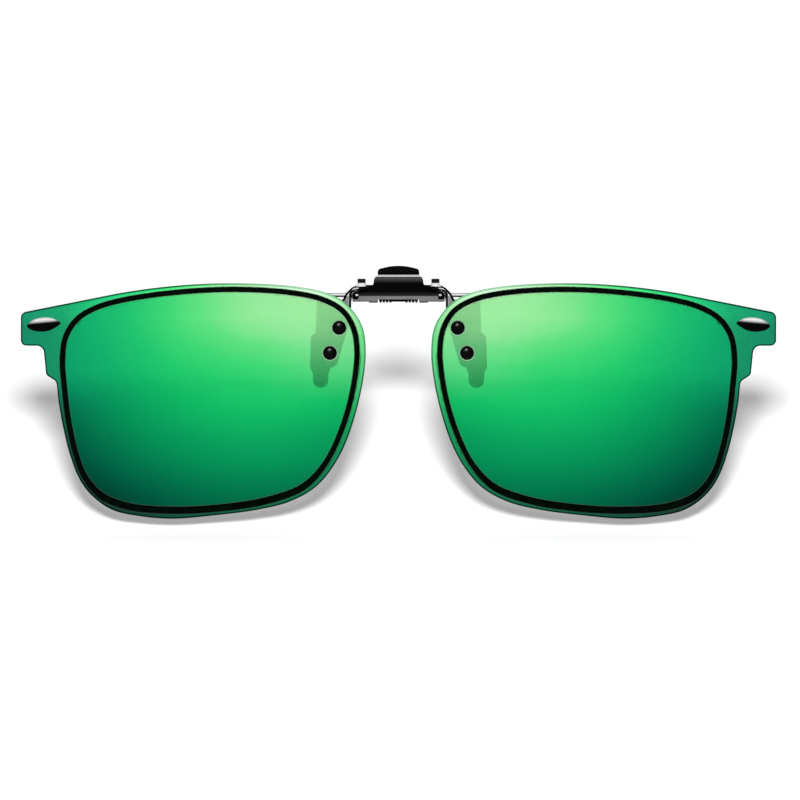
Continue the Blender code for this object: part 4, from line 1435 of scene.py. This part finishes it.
def add_screw_stack(name, side, place):
    """One screw through its washers, the lens, the arm and its nut."""
    u, z = place
    centre = (side * u, 0, z)
    axis = (0, -1, 0)
    screw = turned(screw_profile(), centre, axis)
    piece(
        f"screw_{name}", screw, "screw", "flip_bridge", f"lens_screw_{name}",
        weighted=False,
    )
    front = -LENS_FRONT + SEAT / 2
    for kind, radius, low, high, soft, look, slot, node in (
        ("halo_washer", FRONT_WASHER_R, front, front + FRONT_WASHER, 0.06, "nylon",
         "clear_nylon", "screw_washer"),
        ("spacer", BACK_WASHER_R, -ARM_FRONT + SEAT, -LENS_BACK - SEAT, 0.05, "nylon",
         "clear_nylon", "back_washer"),
        ("nut", NUT_R, -NUT_BACK, -ARM_BACK - SEAT, 0.12, "steel", "steel", "lens_nut"),
    ):
        tube = sleeve(SHANK_HOLE_R, radius, low, high, soft, centre, axis)
        piece(f"{kind}_{name}", tube, look, "flip_bridge", f"{node}_{name}")


# Studio --------

VIEW_X = 0.29
VIEW_Z = -18.9
VIEW_WIDTH = 154.1
VIEW_LIFT_DEG = 0.7
CAMERA_REACH = 3000.0
SENSOR = 36.0
FLOOR_Z = -45.5
FLOOR_HALF = 6000.0
FLOOR_GREY = 0.66
FLOOR_GRAIN = 0.01
KEY_RISE = 94.4
KEY_RADIUS = 10.0
KEY_POWER = 430.0
TOP_BOX_PLACE = (-60, -520, 290)
TOP_BOX_SIZE = (90, 70)
TOP_BOX_POWER = 14.0
BACKDROP = 1.05
# The sky's brightness by height, from straight down to straight up
SKY_STOPS = (
    (0.0, 0.9), (0.58, 1.0), (0.66, 0.5), (0.74, 1.1), (0.86, 1.1), (0.92, 0.35), (1.0, 1.0),
)


def add_camera():
    data = bpy.data.cameras.new("Camera")
    data.sensor_width = SENSOR
    data.lens = SENSOR * CAMERA_REACH / VIEW_WIDTH
    data.clip_start = 0.01
    data.clip_end = 20.0
    camera = in_scene("Camera", data)
    lift = math.radians(VIEW_LIFT_DEG)
    back = Vector((0, -math.cos(lift), math.sin(lift)))
    aim = Vector((VIEW_X, LENS_FRONT, VIEW_Z))
    camera.location = (aim + back * CAMERA_REACH) * MM
    camera.rotation_euler = (math.pi / 2 - lift, 0, 0)
    bpy.context.scene.camera = camera


def add_floor():
    """White paper, which is plain white where it's seen through a lens."""
    mesh = bmesh.new()
    half = FLOOR_HALF
    corners = [(-half, -half), (half, -half), (half, half), (-half, half)]
    mesh.faces.new([mesh.verts.new((x, y, FLOOR_Z)) for x, y in corners])
    floor = to_object("Floor", mesh)
    look = Look("FloorPaper")
    grain = look.noise(0.4, 3.0)
    colour = look.mixed(grain, grey(FLOOR_GREY - FLOOR_GRAIN), grey(FLOOR_GREY + FLOOR_GRAIN))
    paper = look.shader(colour, 0.9, gloss=0.0)
    white = look.out("Emission", {0: opaque(grey(1.0)), 1: 1.0})
    layers = look.out("LightPath", output="Transparent Depth")
    behind = look.math("MINIMUM", layers, 1.0)
    floor.data.materials.append(look.finish(look.either(behind, paper, white)))
    return floor


def light_only(lamp, things):
    lit = bpy.data.collections.new(lamp.name + "Only")
    for thing in things:
        lit.objects.link(thing)
    lamp.light_linking.receiver_collection = lit


def add_floor_key(floor):
    """A low lamp beside the camera that only the floor sees, for the long soft shadow.

    Its strength grows with distance, so that the floor is evenly white.
    """
    data = bpy.data.lights.new("FloorKey", "POINT")
    data.energy = KEY_POWER
    data.shadow_soft_size = KEY_RADIUS * MM
    data.use_nodes = True
    nodes = Nodes(data.node_tree)
    reach = nodes.out("LightPath", output="Ray Length")
    even = nodes.out("LightFalloff", {"Strength": 1.0}, "Constant")
    glow = nodes.out("Emission", {"Strength": nodes.times(reach, even)})
    nodes.node("OutputLight", {"Surface": glow})
    lamp = in_scene("FloorKey", data)
    lamp.location = Vector((VIEW_X, LENS_FRONT - CAMERA_REACH, FLOOR_Z + KEY_RISE)) * MM
    light_only(lamp, [floor])


def add_studio_sky():
    """A soft studio round the object: bright in front, dark at both sides, banded above.

    The camera sees a plain white backdrop instead.
    """
    world = bpy.data.worlds.new("Studio")
    bpy.context.scene.world = world
    world.use_nodes = True
    nodes = Nodes(world.node_tree)
    way = nodes.out("TexCoord", output="Generated")
    split = nodes.node("SeparateXYZ", {0: way})
    rise = nodes.fitted(split.outputs[2], -1, 1, 0, 1)
    height = nodes.ramp(rise, [(place, grey(level)) for place, level in SKY_STOPS])
    across = nodes.math("ABSOLUTE", split.outputs[0])
    light = nodes.mixed(nodes.eased(across, 0.42, 0.72, 1.0, 0.10), grey(0.05), height)
    sky = nodes.out("Background", {0: light, 1: 1.0})
    backdrop = nodes.out("Background", {0: opaque(grey(1)), 1: BACKDROP})
    seen = nodes.out("LightPath", output="Is Camera Ray")
    nodes.node("OutputWorld", {"Surface": nodes.either(seen, sky, backdrop)})


def add_top_box():
    """A softbox that aims at the clamp and lights only the screw heads."""
    data = bpy.data.lights.new("TopBox", "AREA")
    data.shape = "RECTANGLE"
    data.size, data.size_y = (length * MM for length in TOP_BOX_SIZE)
    data.energy = TOP_BOX_POWER
    lamp = in_scene("TopBox", data)
    lamp.location = Vector(TOP_BOX_PLACE) * MM
    lamp.rotation_mode = "QUATERNION"
    lamp.rotation_quaternion = (-Vector(TOP_BOX_PLACE)).to_track_quat("-Z", "Y")
    heads = [thing for thing in bpy.data.objects if thing.name.startswith("screw_")]
    light_only(lamp, heads)


def main():
    bpy.context.scene.view_settings.view_transform = "Standard"
    add_front_housing()
    add_pin()
    add_spring()
    add_rear_plate()
    add_thumb_grip()
    for name, side in SIDES:
        add_end_rings(name, side)
        add_jaw_leg("front", -1, name, side)
        add_jaw_leg("rear", 1, name, side)
        add_arm(name, side)
        add_stop(name, side)
        add_lens(name, side)
        add_ring(name, side)
        add_trim(name, side)
        for number, place in enumerate(SCREW_PLACES, start=1):
            add_screw_stack(f"{name}_{number}", side, place)
    add_camera()
    add_floor_key(add_floor())
    add_studio_sky()
    add_top_box()


main()
